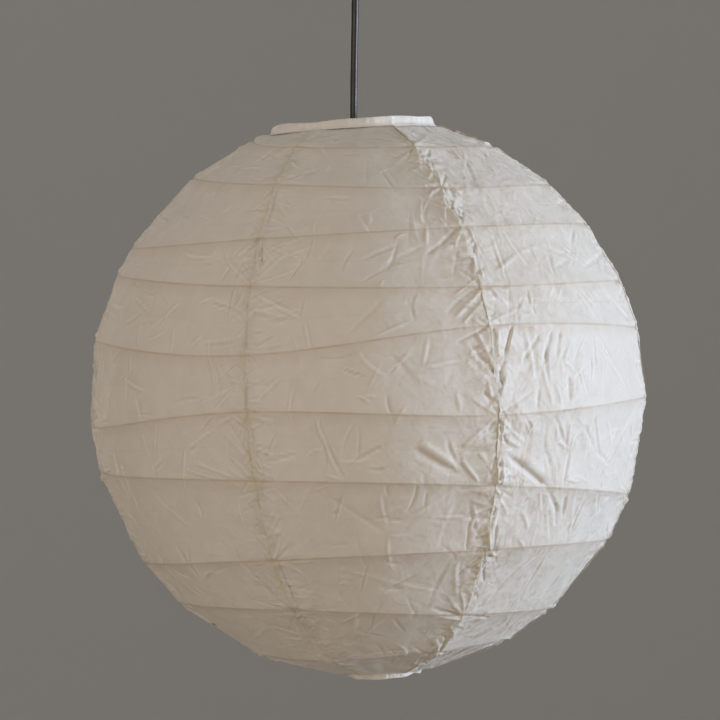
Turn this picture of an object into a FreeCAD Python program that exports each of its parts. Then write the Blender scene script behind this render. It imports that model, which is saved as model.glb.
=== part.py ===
"""Paper globe lamp shade hung on its cord: seven glued paper gores over one spiral rib.

Row frame: origin on the ceiling face of the rose, +Z up, +X to the right, -Y to the front.
The hung parts are drawn in the globe's own frame, with its centre at the origin, and are then
moved under the rose. Angles round the globe are counted from the front (-Y) towards +X.
All sizes are in millimetres.
"""
import FreeCAD, Part
import math
import os
from FreeCAD import Vector

# Globe of paper
GLOBE_DIAMETER = 450.0
TOP_MOUTH = 132.4            # across the outside of the top lip
TOP_LIP = 4.5                # height of the folded paper lip that stands on the globe
BOTTOM_LIP = 3.6
PAPER = 0.3
GORE_COUNT = 7
FLAP_WIDTH = 6.0             # glued strip of each gore under its neighbour, at the equator
FLAP_ROOT = 3.0              # how far the strip starts inside its own gore

# Wires
RIB_WIRE = 1.2
HOOP_WIRE = 2.0
ARM_WIRE = 2.4
LEG_WIRE = 2.5
GLUE_GAP = 0.05              # between pieces that are glued or seated in one body
RIB_GAP = 0.2                # between the rib and the flaps it runs under
BEARING_GAP = 0.3            # between pieces that slide or swing past each other
SLIDE_GAP = 0.45             # between the bottom lip and the expander's legs

# Expander: hub plate, arms under the top hoop, legs on the bottom hoop
HUB_DROP = 50.0              # hub plate below the top hoop
HUB_RIM = 3.5                # plate beyond the clamp rings
HUB_THICKNESS = 1.5
LEG_CLEARANCE = 1.25         # between each leg and the clamp rings
LUG_REACH = 4.0              # plate beyond the middle of each leg's hole
LUG_WIDTH = 9.0
LUG_HOLE_GAP = 0.25          # round the leg in its lug
ARM_COUNT = 4
ARM_SEAT = 7.0               # length of arm that runs level at the hub plate and under the hoop
ARM_BEND = 6.0
LEG_BEND = 2.6               # bend radius where a leg turns into its toe or its tail
LEG_TAIL = 6.0
TOE_OVERHANG = 1.0           # toe beyond the middle of the bottom hoop

# Lampholder
THREAD_DIAMETER = 39.2
HUB_PLAY = 1.0               # the plate's hole over the thread
RING_WALL = 3.9
RING_HEIGHT = 6.0
RING_FLUTES = 20
FLUTE_DIAMETER = 2.4
SKIRT_BELOW_HUB = 31.0
SKIRT_ABOVE_HUB = 12.0
SKIRT_WALL = 2.6
CAP_HEIGHT = 30.0
CAP_WALL = 2.0
CAP_OVERHANG = 1.4           # of the cap and its flange beyond the thread
CAP_BULGE = 0.9              # share of its radius that the cap keeps half way up
CAP_BULGE_HEIGHT = 0.55      # share of its height at which that is
NECK_WALL = 2.3
SHELL_BORE = 26.6
SHELL_WALL = 0.5
SHELL_DEPTH = 24.0
SHELL_DROP = 4.0             # shell below the hub plate's middle, clear of the contact
BASE_PLAY = 1.5              # round the contact base in the skirt
BASE_THICKNESS = 7.0
BASE_RIM = 6.0               # height of the base's rim round the shell
CONTACT_WIDTH = 6.0
CONTACT_THICKNESS = 0.6
CONTACT_DROP = 2.5
CONTACT_SCREW = 3.5
CONTACT_SCREW_REACH = 9.5    # of each terminal screw from the axis
CONTACT_SCREW_FOOT = 1.0     # base left under each terminal screw
SCREW_HEAD_SHARE = 0.9       # radius of a terminal screw's head over the screw's diameter
SCREW_HEAD_HEIGHT = 2.0
SLOT_WIDTH = 0.8
SLOT_DEPTH = 1.0
GRIP_WALL = 2.2
GRIP_LENGTH = 12.0

# Cord
CORD_DIAMETER = 6.0
CORD_FIT = 0.05              # round the cord in the bores that hold it
CORD_RUN = 122.0             # height between the rose and the cord's lower end
CORD_LEAN = 4.35             # degrees between the cord and the globe's axis
CORD_BEND = 6.0              # length of cord that bends on each side of the corner under the rose
CORD_IN_ROSE = 22.0
CORD_TAIL_IN_CAP = 5.0       # cord below its grip

# Ceiling rose
ROSE_DIAMETER = 84.0
ROSE_HEIGHT = 35.0
ROSE_WALL = 1.6
ROSE_ROUND = 14.0
PLATE_THICKNESS = 2.0
PLATE_SCREW_SPACING = 50.0
PLATE_SCREW_HOLE = 4.5
CABLE_ENTRY = 12.0
CABLE_ENTRY_OFFSET = 20.0
BUSH_WALL = 2.0
BUSH_FLANGE_REACH = 3.0
BUSH_FLANGE_HEIGHT = 3.0
BUSH_LENGTH = 16.0
NUT_SHARE = 0.9              # the nut's corner radius over the bush's diameter
NUT_HEIGHT = 4.0
GRUB_DIAMETER = 3.0
GRUB_OUT = 1.0               # grub screw standing out of the bush
CUP_SCREW_DIAMETER = 4.0
CUP_SCREW_LENGTH = 6.0
CUP_SCREW_HEAD = 0.85        # radius of a cup screw's head over its diameter
CUP_SCREW_BELOW = 2.0        # gap between the plate and each cup screw's upper edge
TAB_WIDTH = 10.0
TAB_THICKNESS = 1.5
TAB_GAP = 1.0                # between each tab and the cup
BLOCK_LENGTH = 26.0
BLOCK_WIDTH = 14.0
BLOCK_HEIGHT = 9.0
BLOCK_POLES = 3
BLOCK_TO_ENTRY = 4.5         # between the block and the supply's entry
POLE_DIAMETER = 3.2
POLE_OUT = 0.4               # each terminal screw standing out of the block
POLE_DEPTH = 0.6             # share of the block's height that it goes in

# Latitude in degrees at which each turn of the rib crosses each seam, from the top turn down.
# The first seam of a row is the one behind on the left; the last one is the seam at the back.
RIB_LATITUDES = (
    (70.5, 68.5, 62.5, 59.5, 59.5, 58.5, 56.5),
    (54.5, 54.0, 49.0, 45.0, 45.5, 44.0, 40.5),
    (38.0, 35.0, 34.5, 34.5, 34.5, 32.5, 31.5),
    (29.5, 28.5, 24.0, 21.0, 21.0, 20.0, 17.5),
    (16.5, 14.5, 10.0, 13.0, 11.0, 9.0, 4.0),
    (1.0, -3.0, -1.0, -4.5, -3.5, -4.5, -8.5),
    (-10.0, -12.5, -14.5, -18.5, -23.5, -26.5, -29.0),
    (-32.0, -33.0, -32.0, -32.5, -34.0, -36.0, -39.0),
    (-41.0, -44.0, -45.5, -50.0, -52.5, -55.0, -58.0),
    (-62.0, -64.5, -66.5, -64.5, -63.5, -66.5, -71.0),
)

# Worked out from the sizes above
GLOBE_RADIUS = GLOBE_DIAMETER / 2
GORE_ANGLE = 360.0 / GORE_COUNT
PAPER_INSIDE = GLOBE_RADIUS - PAPER
RIB_RADIUS = PAPER_INSIDE - PAPER - RIB_GAP - RIB_WIRE / 2
RING_DIAMETER = THREAD_DIAMETER + 2 * RING_WALL
HUB_HOLE = THREAD_DIAMETER + HUB_PLAY
CAP_DIAMETER = THREAD_DIAMETER + 2 * CAP_OVERHANG
SKIRT_BORE = THREAD_DIAMETER - 2 * SKIRT_WALL
BASE_DIAMETER = SKIRT_BORE - 2 * BASE_PLAY
GRIP_DIAMETER = CORD_DIAMETER + 2 * GRIP_WALL
CAP_NECK = GRIP_DIAMETER + 2 * NECK_WALL
BUSH_DIAMETER = CORD_DIAMETER + 2 * BUSH_WALL
BUSH_FLANGE = BUSH_DIAMETER + 2 * BUSH_FLANGE_REACH
LEG_REACH = RING_DIAMETER / 2 + LEG_CLEARANCE + LEG_WIRE / 2
LIP_BORE = LEG_REACH + LEG_WIRE / 2 + SLIDE_GAP
BOTTOM_MOUTH = 2 * (LIP_BORE + HOOP_WIRE + 2 * PAPER + 2 * GLUE_GAP)
THROUGH = 1.0                # how far a cutting shape reaches past what it cuts
UP = Vector(0, 0, 1)
DOWN = Vector(0, 0, -1)
ORIGIN = Vector(0, 0, 0)


def height_on_globe(radius):
    """Height above the centre at which the globe has this radius."""
    return math.sqrt(GLOBE_RADIUS ** 2 - radius ** 2)


def hoop_radius(mouth):
    """Radius of the hoop's middle inside a lip of this outside diameter."""
    return mouth / 2 - PAPER - GLUE_GAP - HOOP_WIRE / 2


TOP_LIP_BASE = height_on_globe(TOP_MOUTH / 2) - PAPER
BOTTOM_LIP_BASE = -height_on_globe(BOTTOM_MOUTH / 2) + PAPER
TOP_HOOP_Z = TOP_LIP_BASE + HOOP_WIRE / 2
BOTTOM_HOOP_Z = BOTTOM_LIP_BASE - HOOP_WIRE / 2
HUB_Z = TOP_HOOP_Z - HUB_DROP
HUB_TOP = HUB_Z + HUB_THICKNESS / 2
HUB_UNDER = HUB_Z - HUB_THICKNESS / 2
SKIRT_TOP = HUB_Z + SKIRT_ABOVE_HUB
CAP_TOP = SKIRT_TOP + CAP_HEIGHT
PIVOT_Z = CAP_TOP + BEARING_GAP + CORD_DIAMETER / 2
CUP_SCREW_Z = -PLATE_THICKNESS - CUP_SCREW_BELOW - CUP_SCREW_DIAMETER / 2
BLOCK_Y = CABLE_ENTRY_OFFSET - CABLE_ENTRY / 2 - BLOCK_TO_ENTRY - BLOCK_WIDTH / 2
CORD_END_Z = -ROSE_HEIGHT - CORD_RUN
CORD_CORNER_Z = -ROSE_HEIGHT - BUSH_FLANGE_HEIGHT - CORD_BEND
CENTRE_Z = CORD_END_Z - PIVOT_Z
AXIS_X = (CORD_END_Z - CORD_CORNER_Z) * math.tan(math.radians(CORD_LEAN))


# Drawing helpers

def hang(shape):
    """Move a shape from the globe's own frame to its place under the rose."""
    moved = shape.copy()
    moved.translate(Vector(AXIS_X, 0, CENTRE_Z))
    return moved


def spun(shape, angle):
    """Copy of a shape turned about the vertical axis by an angle in degrees."""
    turned = shape.copy()
    turned.rotate(ORIGIN, UP, angle)
    return turned


def outline_face(start, *steps):
    """Face in the plane of radius and height; a step is an end point or an arc (through, end)."""
    here = Vector(start[0], 0, start[1])
    first = here
    edges = []
    for step in steps:
        curved = isinstance(step[0], tuple)
        end = step[1] if curved else step
        there = Vector(end[0], 0, end[1])
        if curved:
            through = Vector(step[0][0], 0, step[0][1])
            edges.append(Part.Arc(here, through, there).toShape())
        else:
            edges.append(Part.LineSegment(here, there).toShape())
        here = there
    if here != first:
        edges.append(Part.LineSegment(here, first).toShape())
    return Part.Face(Part.Wire(edges))


def revolved(start, *steps, angle=360.0):
    """Solid of revolution about the vertical axis from an outline of radius and height."""
    return outline_face(start, *steps).revolve(ORIGIN, UP, angle)


def tube(outer, inner, low, high):
    """Plain tube between two heights, given its outer and inner radius."""
    return revolved((inner, low), (outer, low), (outer, high), (inner, high))


def rod(radius, start, end):
    """Plain round rod between two points."""
    along = end - start
    return Part.makeCylinder(radius, along.Length, start, along)


def bar(radius, start, heading, stops):
    """Round bar that reaches each stop straight ahead or by the arc tangent to its heading."""
    section = Part.makeCircle(radius, start, heading)
    faces = [Part.Face(Part.Wire([section]))]
    here = start
    ahead = Vector(heading).normalize()
    for stop in stops:
        chord = stop - here
        axis = ahead.cross(chord)
        if axis.Length < 1e-6 * chord.Length:
            faces.extend(section.extrude(chord).Faces)
            section = section.copy()
            section.translate(chord)
        else:
            half = ahead.getAngle(chord)
            axis.normalize()
            bend = chord.Length / (2 * math.sin(half))
            centre = here + axis.cross(ahead) * bend
            turn = math.degrees(2 * half)
            faces.extend(section.revolve(centre, axis, turn).Faces)
            section = section.copy()
            section.rotate(centre, axis, turn)
            ahead = FreeCAD.Rotation(axis, turn).multVec(ahead)
        here = stop
    faces.append(Part.Face(Part.Wire([section])))
    shell = Part.makeShell(faces)
    shell.sewShape()
    solid = Part.makeSolid(shell)
    if solid.Volume < 0:
        solid.reverse()
    return solid


def rounded(points, bends):
    """Stops of a path whose inner points are rounded by arcs of the given radii."""
    stops = []
    for before, corner, after, bend in zip(points, points[1:], points[2:], bends):
        back = (corner - before).normalize()
        forth = (after - corner).normalize()
        reach = bend * math.tan(back.getAngle(forth) / 2)
        stops.append(corner - back * reach)
        stops.append(corner + forth * reach)
    stops.append(points[-1])
    return stops


def bent_wire(radius, points, bends):
    """Round wire along straight runs joined by arcs."""
    return bar(radius, points[0], points[1] - points[0], rounded(points, bends))


def upright_cut(radius, place, low, high):
    """Upright round bar that cuts right through whatever lies between two heights."""
    foot = Vector(place.x, place.y, low - THROUGH)
    return Part.makeCylinder(radius, high - low + 2 * THROUGH, foot)


def grown_together(shapes):
    """One solid from shapes that overlap or meet."""
    return shapes[0].fuse(shapes[1:]).removeSplitter()


# Paper globe

def zone_outline(outside, inside):
    """Outline of a thin strip of the globe between the two lips."""
    top = TOP_MOUTH / 2 + GLUE_GAP
    bottom = BOTTOM_MOUTH / 2 + GLUE_GAP

    def at(reach, radius, sign):
        return radius, sign * math.sqrt(reach ** 2 - radius ** 2)

    return (
        at(outside, top, 1),
        ((outside, 0.0), at(outside, bottom, -1)),
        at(inside, bottom, -1),
        ((inside, 0.0), at(inside, top, 1)),
    )


def paper_gore(index):
    """One gore, the first of them in front, with its glued flap under the next gore's edge."""
    flap_angle = math.degrees((FLAP_ROOT + FLAP_WIDTH) / GLOBE_RADIUS)
    root_angle = math.degrees(FLAP_ROOT / GLOBE_RADIUS)
    panel = revolved(*zone_outline(GLOBE_RADIUS, PAPER_INSIDE), angle=GORE_ANGLE)
    flap = revolved(*zone_outline(PAPER_INSIDE, PAPER_INSIDE - PAPER), angle=flap_angle)
    gore = grown_together([panel, spun(flap, GORE_ANGLE - root_angle)])
    return spun(gore, (index - 1.5) * GORE_ANGLE - 90.0)


def on_globe(azimuth, latitude):
    """Point of the rib's middle line at an azimuth and latitude in degrees."""
    turn = math.radians(azimuth)
    rise = math.radians(latitude)
    level = RIB_RADIUS * math.cos(rise)
    return Vector(level * math.sin(turn), -level * math.cos(turn), RIB_RADIUS * math.sin(rise))


def rib_heading(azimuth, latitude, slope):
    """Unit direction of the rib where its latitude changes by slope degrees per degree."""
    ahead = on_globe(azimuth + 0.01, latitude + 0.01 * slope)
    return (ahead - on_globe(azimuth - 0.01, latitude - 0.01 * slope)).normalize()


def arc_joint(start, start_heading, end, end_heading):
    """Point where two arcs of equal tangent length meet between two headed points."""
    span = end - start
    both = start_heading + end_heading
    spread = 2 * (1 - start_heading.dot(end_heading))
    reach = span.dot(both)
    tangent = (math.sqrt(reach ** 2 + spread * span.dot(span)) - reach) / spread
    return (start + start_heading * tangent + end - end_heading * tangent) * 0.5


def spiral_rib():
    """The one wire that winds down the inside of the paper, as arcs that meet smoothly."""
    latitudes = [latitude for turn in RIB_LATITUDES for latitude in turn]
    last = len(latitudes) - 1
    points = []
    headings = []
    for step, latitude in enumerate(latitudes):
        azimuth = (step - (GORE_COUNT - 1) / 2 + 0.5) * GORE_ANGLE
        before = latitudes[max(step - 1, 0)]
        after = latitudes[min(step + 1, last)]
        span = min(step + 1, last) - max(step - 1, 0)
        points.append(on_globe(azimuth, latitude))
        headings.append(rib_heading(azimuth, latitude, (after - before) / (span * GORE_ANGLE)))
    stops = []
    for step in range(last):
        stops.append(arc_joint(points[step], headings[step], points[step + 1], headings[step + 1]))
        stops.append(points[step + 1])
    return bar(RIB_WIRE / 2, points[0], headings[0], stops)


def hoop(mouth, height):
    """Wire hoop inside a lip."""
    return Part.makeTorus(hoop_radius(mouth), HOOP_WIRE / 2, Vector(0, 0, height))


def lip(mouth, base, height):
    """Paper folded over a hoop: outer wall, closed far edge and a short inner fold to the hoop."""
    sign = math.copysign(1.0, height)
    outer = mouth / 2
    inner = hoop_radius(mouth) - HOOP_WIRE / 2 - PAPER - GLUE_GAP
    edge = base + height
    fold_end = base + sign * (HOOP_WIRE + 2 * GLUE_GAP)
    return revolved(
        (outer, base),
        (outer, edge),
        (inner, edge),
        (inner, fold_end),
        (inner + PAPER, fold_end),
        (inner + PAPER, edge - sign * PAPER),
        (outer - PAPER, edge - sign * PAPER),
        (outer - PAPER, base),
    )


# Expander

def hub_plate():
    """Steel ring that sits on the lampholder, with a lug on each side for a leg."""
    inner = HUB_HOLE / 2
    ring = tube(RING_DIAMETER / 2 + HUB_RIM, inner, HUB_UNDER, HUB_TOP)
    lug_end = LEG_REACH + LUG_REACH
    corner = Vector(-lug_end, -LUG_WIDTH / 2, HUB_UNDER)
    strap = Part.makeBox(2 * lug_end, LUG_WIDTH, HUB_THICKNESS, corner)
    plate = grown_together([ring, strap])
    holes = [upright_cut(inner, ORIGIN, HUB_UNDER, HUB_TOP)]
    for side in (-1, 1):
        place = Vector(side * LEG_REACH, 0, 0)
        holes.append(upright_cut(LEG_WIRE / 2 + LUG_HOLE_GAP, place, HUB_UNDER, HUB_TOP))
    return plate.cut(Part.makeCompound(holes))


def spider_arm(index):
    """Wire welded to the hub plate that rises to carry the top hoop."""
    on_plate = HUB_TOP + ARM_WIRE / 2
    under_hoop = TOP_HOOP_Z - HOOP_WIRE / 2 - GLUE_GAP - ARM_WIRE / 2
    start = RING_DIAMETER / 2 + BEARING_GAP
    end = TOP_MOUTH / 2 - PAPER
    points = [
        Vector(start, 0, on_plate),
        Vector(start + ARM_SEAT, 0, on_plate),
        Vector(end - ARM_SEAT, 0, under_hoop),
        Vector(end, 0, under_hoop),
    ]
    arm = bent_wire(ARM_WIRE / 2, points, [ARM_BEND, ARM_BEND])
    return spun(arm, (index - 0.5) * 360.0 / ARM_COUNT)


def expander_leg(side):
    """Spring wire leg: a tail over the lug, a straight drop and a toe on the bottom hoop."""
    tail_z = HUB_TOP + BEARING_GAP + LEG_WIRE / 2
    toe_z = BOTTOM_HOOP_Z + HOOP_WIRE / 2 + BEARING_GAP + LEG_WIRE / 2
    toe_end = hoop_radius(BOTTOM_MOUTH) + TOE_OVERHANG
    points = [
        Vector(side * LEG_REACH, LEG_TAIL, tail_z),
        Vector(side * LEG_REACH, 0, tail_z),
        Vector(side * LEG_REACH, 0, toe_z),
        Vector(side * toe_end, 0, toe_z),
    ]
    return bent_wire(LEG_WIRE / 2, points, [LEG_WIRE / 2 + LUG_HOLE_GAP / 5, LEG_BEND])


# Lampholder

def lampholder_skirt():
    """Outer tube of the lampholder with the flange that the cap closes on."""
    outer = THREAD_DIAMETER / 2
    inner = SKIRT_BORE / 2
    flange = CAP_DIAMETER / 2
    flange_z = SKIRT_TOP - SKIRT_WALL
    return revolved(
        (inner, HUB_Z - SKIRT_BELOW_HUB),
        (outer, HUB_Z - SKIRT_BELOW_HUB),
        (outer, flange_z),
        (flange, flange_z),
        (flange, SKIRT_TOP),
        (inner, SKIRT_TOP),
    )


def clamp_ring(low):
    """Threaded ring with finger flutes that clamps the hub plate."""
    ring = tube(RING_DIAMETER / 2, THREAD_DIAMETER / 2 + GLUE_GAP, low, low + RING_HEIGHT)
    flute = upright_cut(FLUTE_DIAMETER / 2, Vector(RING_DIAMETER / 2, 0, 0), low, low + RING_HEIGHT)
    flutes = [spun(flute, step * 360.0 / RING_FLUTES) for step in range(RING_FLUTES)]
    return ring.cut(Part.makeCompound(flutes))


def lampholder_cap():
    """Domed cap with a neck for the cord grip."""
    base = CAP_DIAMETER / 2
    neck = CAP_NECK / 2
    inner_neck = GRIP_DIAMETER / 2 + GLUE_GAP
    shoulder = CAP_TOP - GRIP_LENGTH
    middle = base * CAP_BULGE
    half_way = SKIRT_TOP + (shoulder - SKIRT_TOP) * CAP_BULGE_HEIGHT
    inner_half_way = half_way - CAP_WALL / 2
    return revolved(
        (base - CAP_WALL, SKIRT_TOP + GLUE_GAP),
        (base, SKIRT_TOP + GLUE_GAP),
        ((middle, half_way), (neck, shoulder + CAP_WALL)),
        (neck, CAP_TOP),
        (inner_neck, CAP_TOP),
        (inner_neck, shoulder),
        ((middle - CAP_WALL, inner_half_way), (base - CAP_WALL, SKIRT_TOP + GLUE_GAP)),
    )


def cord_grip():
    """Split bush that holds the cord in the cap's neck."""
    return tube(GRIP_DIAMETER / 2, CORD_DIAMETER / 2 + CORD_FIT, CAP_TOP - GRIP_LENGTH, CAP_TOP)


def contact_base():
    """Ceramic cup that closes the socket, carries the contacts and holds the shell in its rim."""
    outer = BASE_DIAMETER / 2
    inner = SHELL_BORE / 2 + SHELL_WALL + GLUE_GAP
    low = HUB_Z + GLUE_GAP
    high = low + BASE_THICKNESS
    rim = HUB_Z - BASE_RIM
    cup = revolved((0, low), (inner, low), (inner, rim), (outer, rim), (outer, high), (0, high))
    holes = []
    for side in (-1, 1):
        place = Vector(side * CONTACT_SCREW_REACH, 0, 0)
        holes.append(upright_cut(CONTACT_SCREW / 2 + GLUE_GAP, place, low, high))
    return cup.cut(Part.makeCompound(holes))


def screw_shell():
    """Metal shell in the base's rim, which the bulb screws into."""
    inner = SHELL_BORE / 2
    top = HUB_Z - SHELL_DROP
    return tube(inner + SHELL_WALL, inner, top - SHELL_DEPTH, top)


def centre_contact():
    """Sprung strip that meets the tip of the bulb."""
    half = CONTACT_WIDTH / 2
    top = HUB_Z
    low = top - CONTACT_DROP
    reach = CONTACT_SCREW_REACH - CONTACT_SCREW
    outline = [
        Vector(-reach, -half, top),
        Vector(-reach, -half, top - CONTACT_THICKNESS),
        Vector(half, -half, low - CONTACT_THICKNESS),
        Vector(reach, -half, low - CONTACT_THICKNESS),
        Vector(reach, -half, low),
        Vector(half, -half, low),
        Vector(-reach + half, -half, top),
        Vector(-reach, -half, top),
    ]
    return Part.Face(Part.makePolygon(outline)).extrude(Vector(0, CONTACT_WIDTH, 0))


def contact_screws():
    """Two terminal screws in the contact base."""
    screws = []
    head = CONTACT_SCREW * SCREW_HEAD_SHARE
    foot = HUB_Z + GLUE_GAP + CONTACT_SCREW_FOOT
    top = HUB_Z + GLUE_GAP + BASE_THICKNESS
    slot_low = top + SCREW_HEAD_HEIGHT - SLOT_DEPTH
    for side in (-1, 1):
        x = side * CONTACT_SCREW_REACH
        shank = rod(CONTACT_SCREW / 2, Vector(x, 0, foot), Vector(x, 0, top))
        cap = rod(head, Vector(x, 0, top), Vector(x, 0, top + SCREW_HEAD_HEIGHT))
        corner = Vector(x - head, -SLOT_WIDTH / 2, slot_low)
        slot = Part.makeBox(head * 2, SLOT_WIDTH, SLOT_DEPTH, corner)
        screws.append(grown_together([shank, cap]).cut(slot))
    return Part.makeCompound(screws)


def cord_tail():
    """The cord's last stretch, which turns with the lampholder."""
    end = CAP_TOP - GRIP_LENGTH - CORD_TAIL_IN_CAP
    return rod(CORD_DIAMETER / 2, Vector(0, 0, end), Vector(0, 0, CAP_TOP))


# Ceiling rose and cord, in the row frame

def cord():
    """Cord from the terminal block, straight down to its rounded lower end above the cap."""
    radius = CORD_DIAMETER / 2
    points = [
        Vector(0, 0, -ROSE_HEIGHT + CORD_IN_ROSE),
        Vector(0, 0, CORD_CORNER_Z),
        Vector(AXIS_X, 0, CORD_END_Z),
    ]
    runs = [(after - before).Length for before, after in zip(points, points[1:])]
    bend = CORD_BEND / math.tan(math.radians(CORD_LEAN) / 2)
    sheath = bent_wire(radius, points, [bend])
    path = sum(runs) - 2 * CORD_BEND + bend * math.radians(CORD_LEAN)
    section = math.pi * radius ** 2
    print("cord bend radius %.0f mm, volume %.0f of %.0f mm3" % (bend, sheath.Volume, section * path))
    return grown_together([sheath, Part.makeSphere(radius, points[-1])])


def rose_plate():
    """Steel disc screwed to the ceiling, with two screw holes and the supply's entry."""
    low = -PLATE_THICKNESS
    plate = rod(ROSE_DIAMETER / 2 - ROSE_WALL - GLUE_GAP, Vector(0, 0, low), ORIGIN)
    entry = Vector(0, CABLE_ENTRY_OFFSET, 0)
    holes = [upright_cut(CABLE_ENTRY / 2, entry, low, 0)]
    for side in (-1, 1):
        place = Vector(side * PLATE_SCREW_SPACING / 2, 0, 0)
        holes.append(upright_cut(PLATE_SCREW_HOLE / 2, place, low, 0))
    return plate.cut(Part.makeCompound(holes))


def rose_cup():
    """Cover of the rose, rounded at its lower edge, with a hole for the bush."""
    outer = ROSE_DIAMETER / 2
    inner = outer - ROSE_WALL
    floor = -ROSE_HEIGHT
    hole = BUSH_DIAMETER / 2 + GLUE_GAP
    inside_round = ROSE_ROUND - ROSE_WALL
    slant = math.sqrt(0.5)
    bend_r = outer - ROSE_ROUND
    bend_z = floor + ROSE_ROUND
    cup = revolved(
        (inner, 0),
        (inner, bend_z),
        ((bend_r + inside_round * slant, bend_z - inside_round * slant), (bend_r, floor + ROSE_WALL)),
        (hole, floor + ROSE_WALL),
        (hole, floor),
        (bend_r, floor),
        ((bend_r + ROSE_ROUND * slant, bend_z - ROSE_ROUND * slant), (outer, bend_z)),
        (outer, 0),
    )
    return cup.cut(side_bar(CUP_SCREW_DIAMETER / 2 + GLUE_GAP, -outer - THROUGH, outer + THROUGH))


def side_bar(radius, start, end):
    """Round bar along X on the line of the two side screws that hold the cup."""
    return rod(radius, Vector(start, 0, CUP_SCREW_Z), Vector(end, 0, CUP_SCREW_Z))


def cup_screws():
    """Two side screws through the cup into the plate's tabs."""
    screws = []
    face = ROSE_DIAMETER / 2 + GLUE_GAP
    for side in (-1, 1):
        shank = side_bar(CUP_SCREW_DIAMETER / 2, side * (face - CUP_SCREW_LENGTH), side * face)
        head_end = side * (face + SCREW_HEAD_HEIGHT)
        head = side_bar(CUP_SCREW_DIAMETER * CUP_SCREW_HEAD, side * face, head_end)
        screws.append(grown_together([shank, head]))
    return Part.makeCompound(screws)


def cup_tabs():
    """Two bent tabs under the plate that the cup's side screws bite into."""
    tabs = []
    reach = ROSE_DIAMETER / 2 - ROSE_WALL - TAB_GAP
    low = CUP_SCREW_Z - CUP_SCREW_DIAMETER
    hole = side_bar(CUP_SCREW_DIAMETER / 2 + GLUE_GAP, -reach - THROUGH, reach + THROUGH)
    for side in (-1, 1):
        low_x = min(side * reach, side * (reach - TAB_THICKNESS))
        corner = Vector(low_x, -TAB_WIDTH / 2, low)
        tab = Part.makeBox(TAB_THICKNESS, TAB_WIDTH, -PLATE_THICKNESS - low, corner)
        tabs.append(tab.cut(hole))
    return Part.makeCompound(tabs)


def rose_bush():
    """Cord bush with a flange under the cup and a nut above it."""
    bore = CORD_DIAMETER / 2 + CORD_FIT
    stem = tube(BUSH_DIAMETER / 2, bore, -ROSE_HEIGHT - GLUE_GAP, -ROSE_HEIGHT + BUSH_LENGTH)
    flange = tube(BUSH_FLANGE / 2, bore, -ROSE_HEIGHT - BUSH_FLANGE_HEIGHT, -ROSE_HEIGHT - GLUE_GAP)
    bush = grown_together([stem, flange])
    return bush.cut(grub_hole(GLUE_GAP))


def grub_hole(gap):
    """Round bar where the grub screw sits in the bush, grown by a gap."""
    centre = -ROSE_HEIGHT + BUSH_LENGTH - GRUB_DIAMETER
    start = Vector(0, -BUSH_DIAMETER / 2 - GRUB_OUT, centre)
    end = Vector(0, -CORD_DIAMETER / 2 - CORD_FIT / 2, centre)
    return rod(GRUB_DIAMETER / 2 + gap, start, end)


def bush_nut():
    """Hexagon nut that holds the bush in the cup."""
    low = -ROSE_HEIGHT + ROSE_WALL + GLUE_GAP
    high = low + NUT_HEIGHT
    corner = Vector(BUSH_DIAMETER * NUT_SHARE, 0, low)
    corners = [FreeCAD.Rotation(UP, step * 60).multVec(corner) for step in range(6)]
    nut = Part.Face(Part.makePolygon(corners + corners[:1])).extrude(Vector(0, 0, NUT_HEIGHT))
    return nut.cut(upright_cut(BUSH_DIAMETER / 2 + GLUE_GAP, ORIGIN, low, high))


def terminal_block():
    """Block under the plate where the cord meets the supply, with a row of terminal holes."""
    corner = Vector(-BLOCK_LENGTH / 2, BLOCK_Y - BLOCK_WIDTH / 2, -PLATE_THICKNESS - BLOCK_HEIGHT)
    block = Part.makeBox(BLOCK_LENGTH, BLOCK_WIDTH, BLOCK_HEIGHT, corner)
    for step in range(BLOCK_POLES):
        block = block.cut(terminal_place(step, GLUE_GAP))
    return block


def terminal_place(step, gap):
    """Round bar where one terminal screw sits, grown by a gap."""
    x = (step - (BLOCK_POLES - 1) / 2) * BLOCK_LENGTH / BLOCK_POLES
    face = -PLATE_THICKNESS - BLOCK_HEIGHT
    start = Vector(x, BLOCK_Y, face - POLE_OUT)
    end = Vector(x, BLOCK_Y, face + BLOCK_HEIGHT * POLE_DEPTH)
    return rod(POLE_DIAMETER / 2 + gap, start, end)


def terminal_screws():
    """Brass screws of the terminal block."""
    return Part.makeCompound([terminal_place(step, 0.0) for step in range(BLOCK_POLES)])


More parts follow.
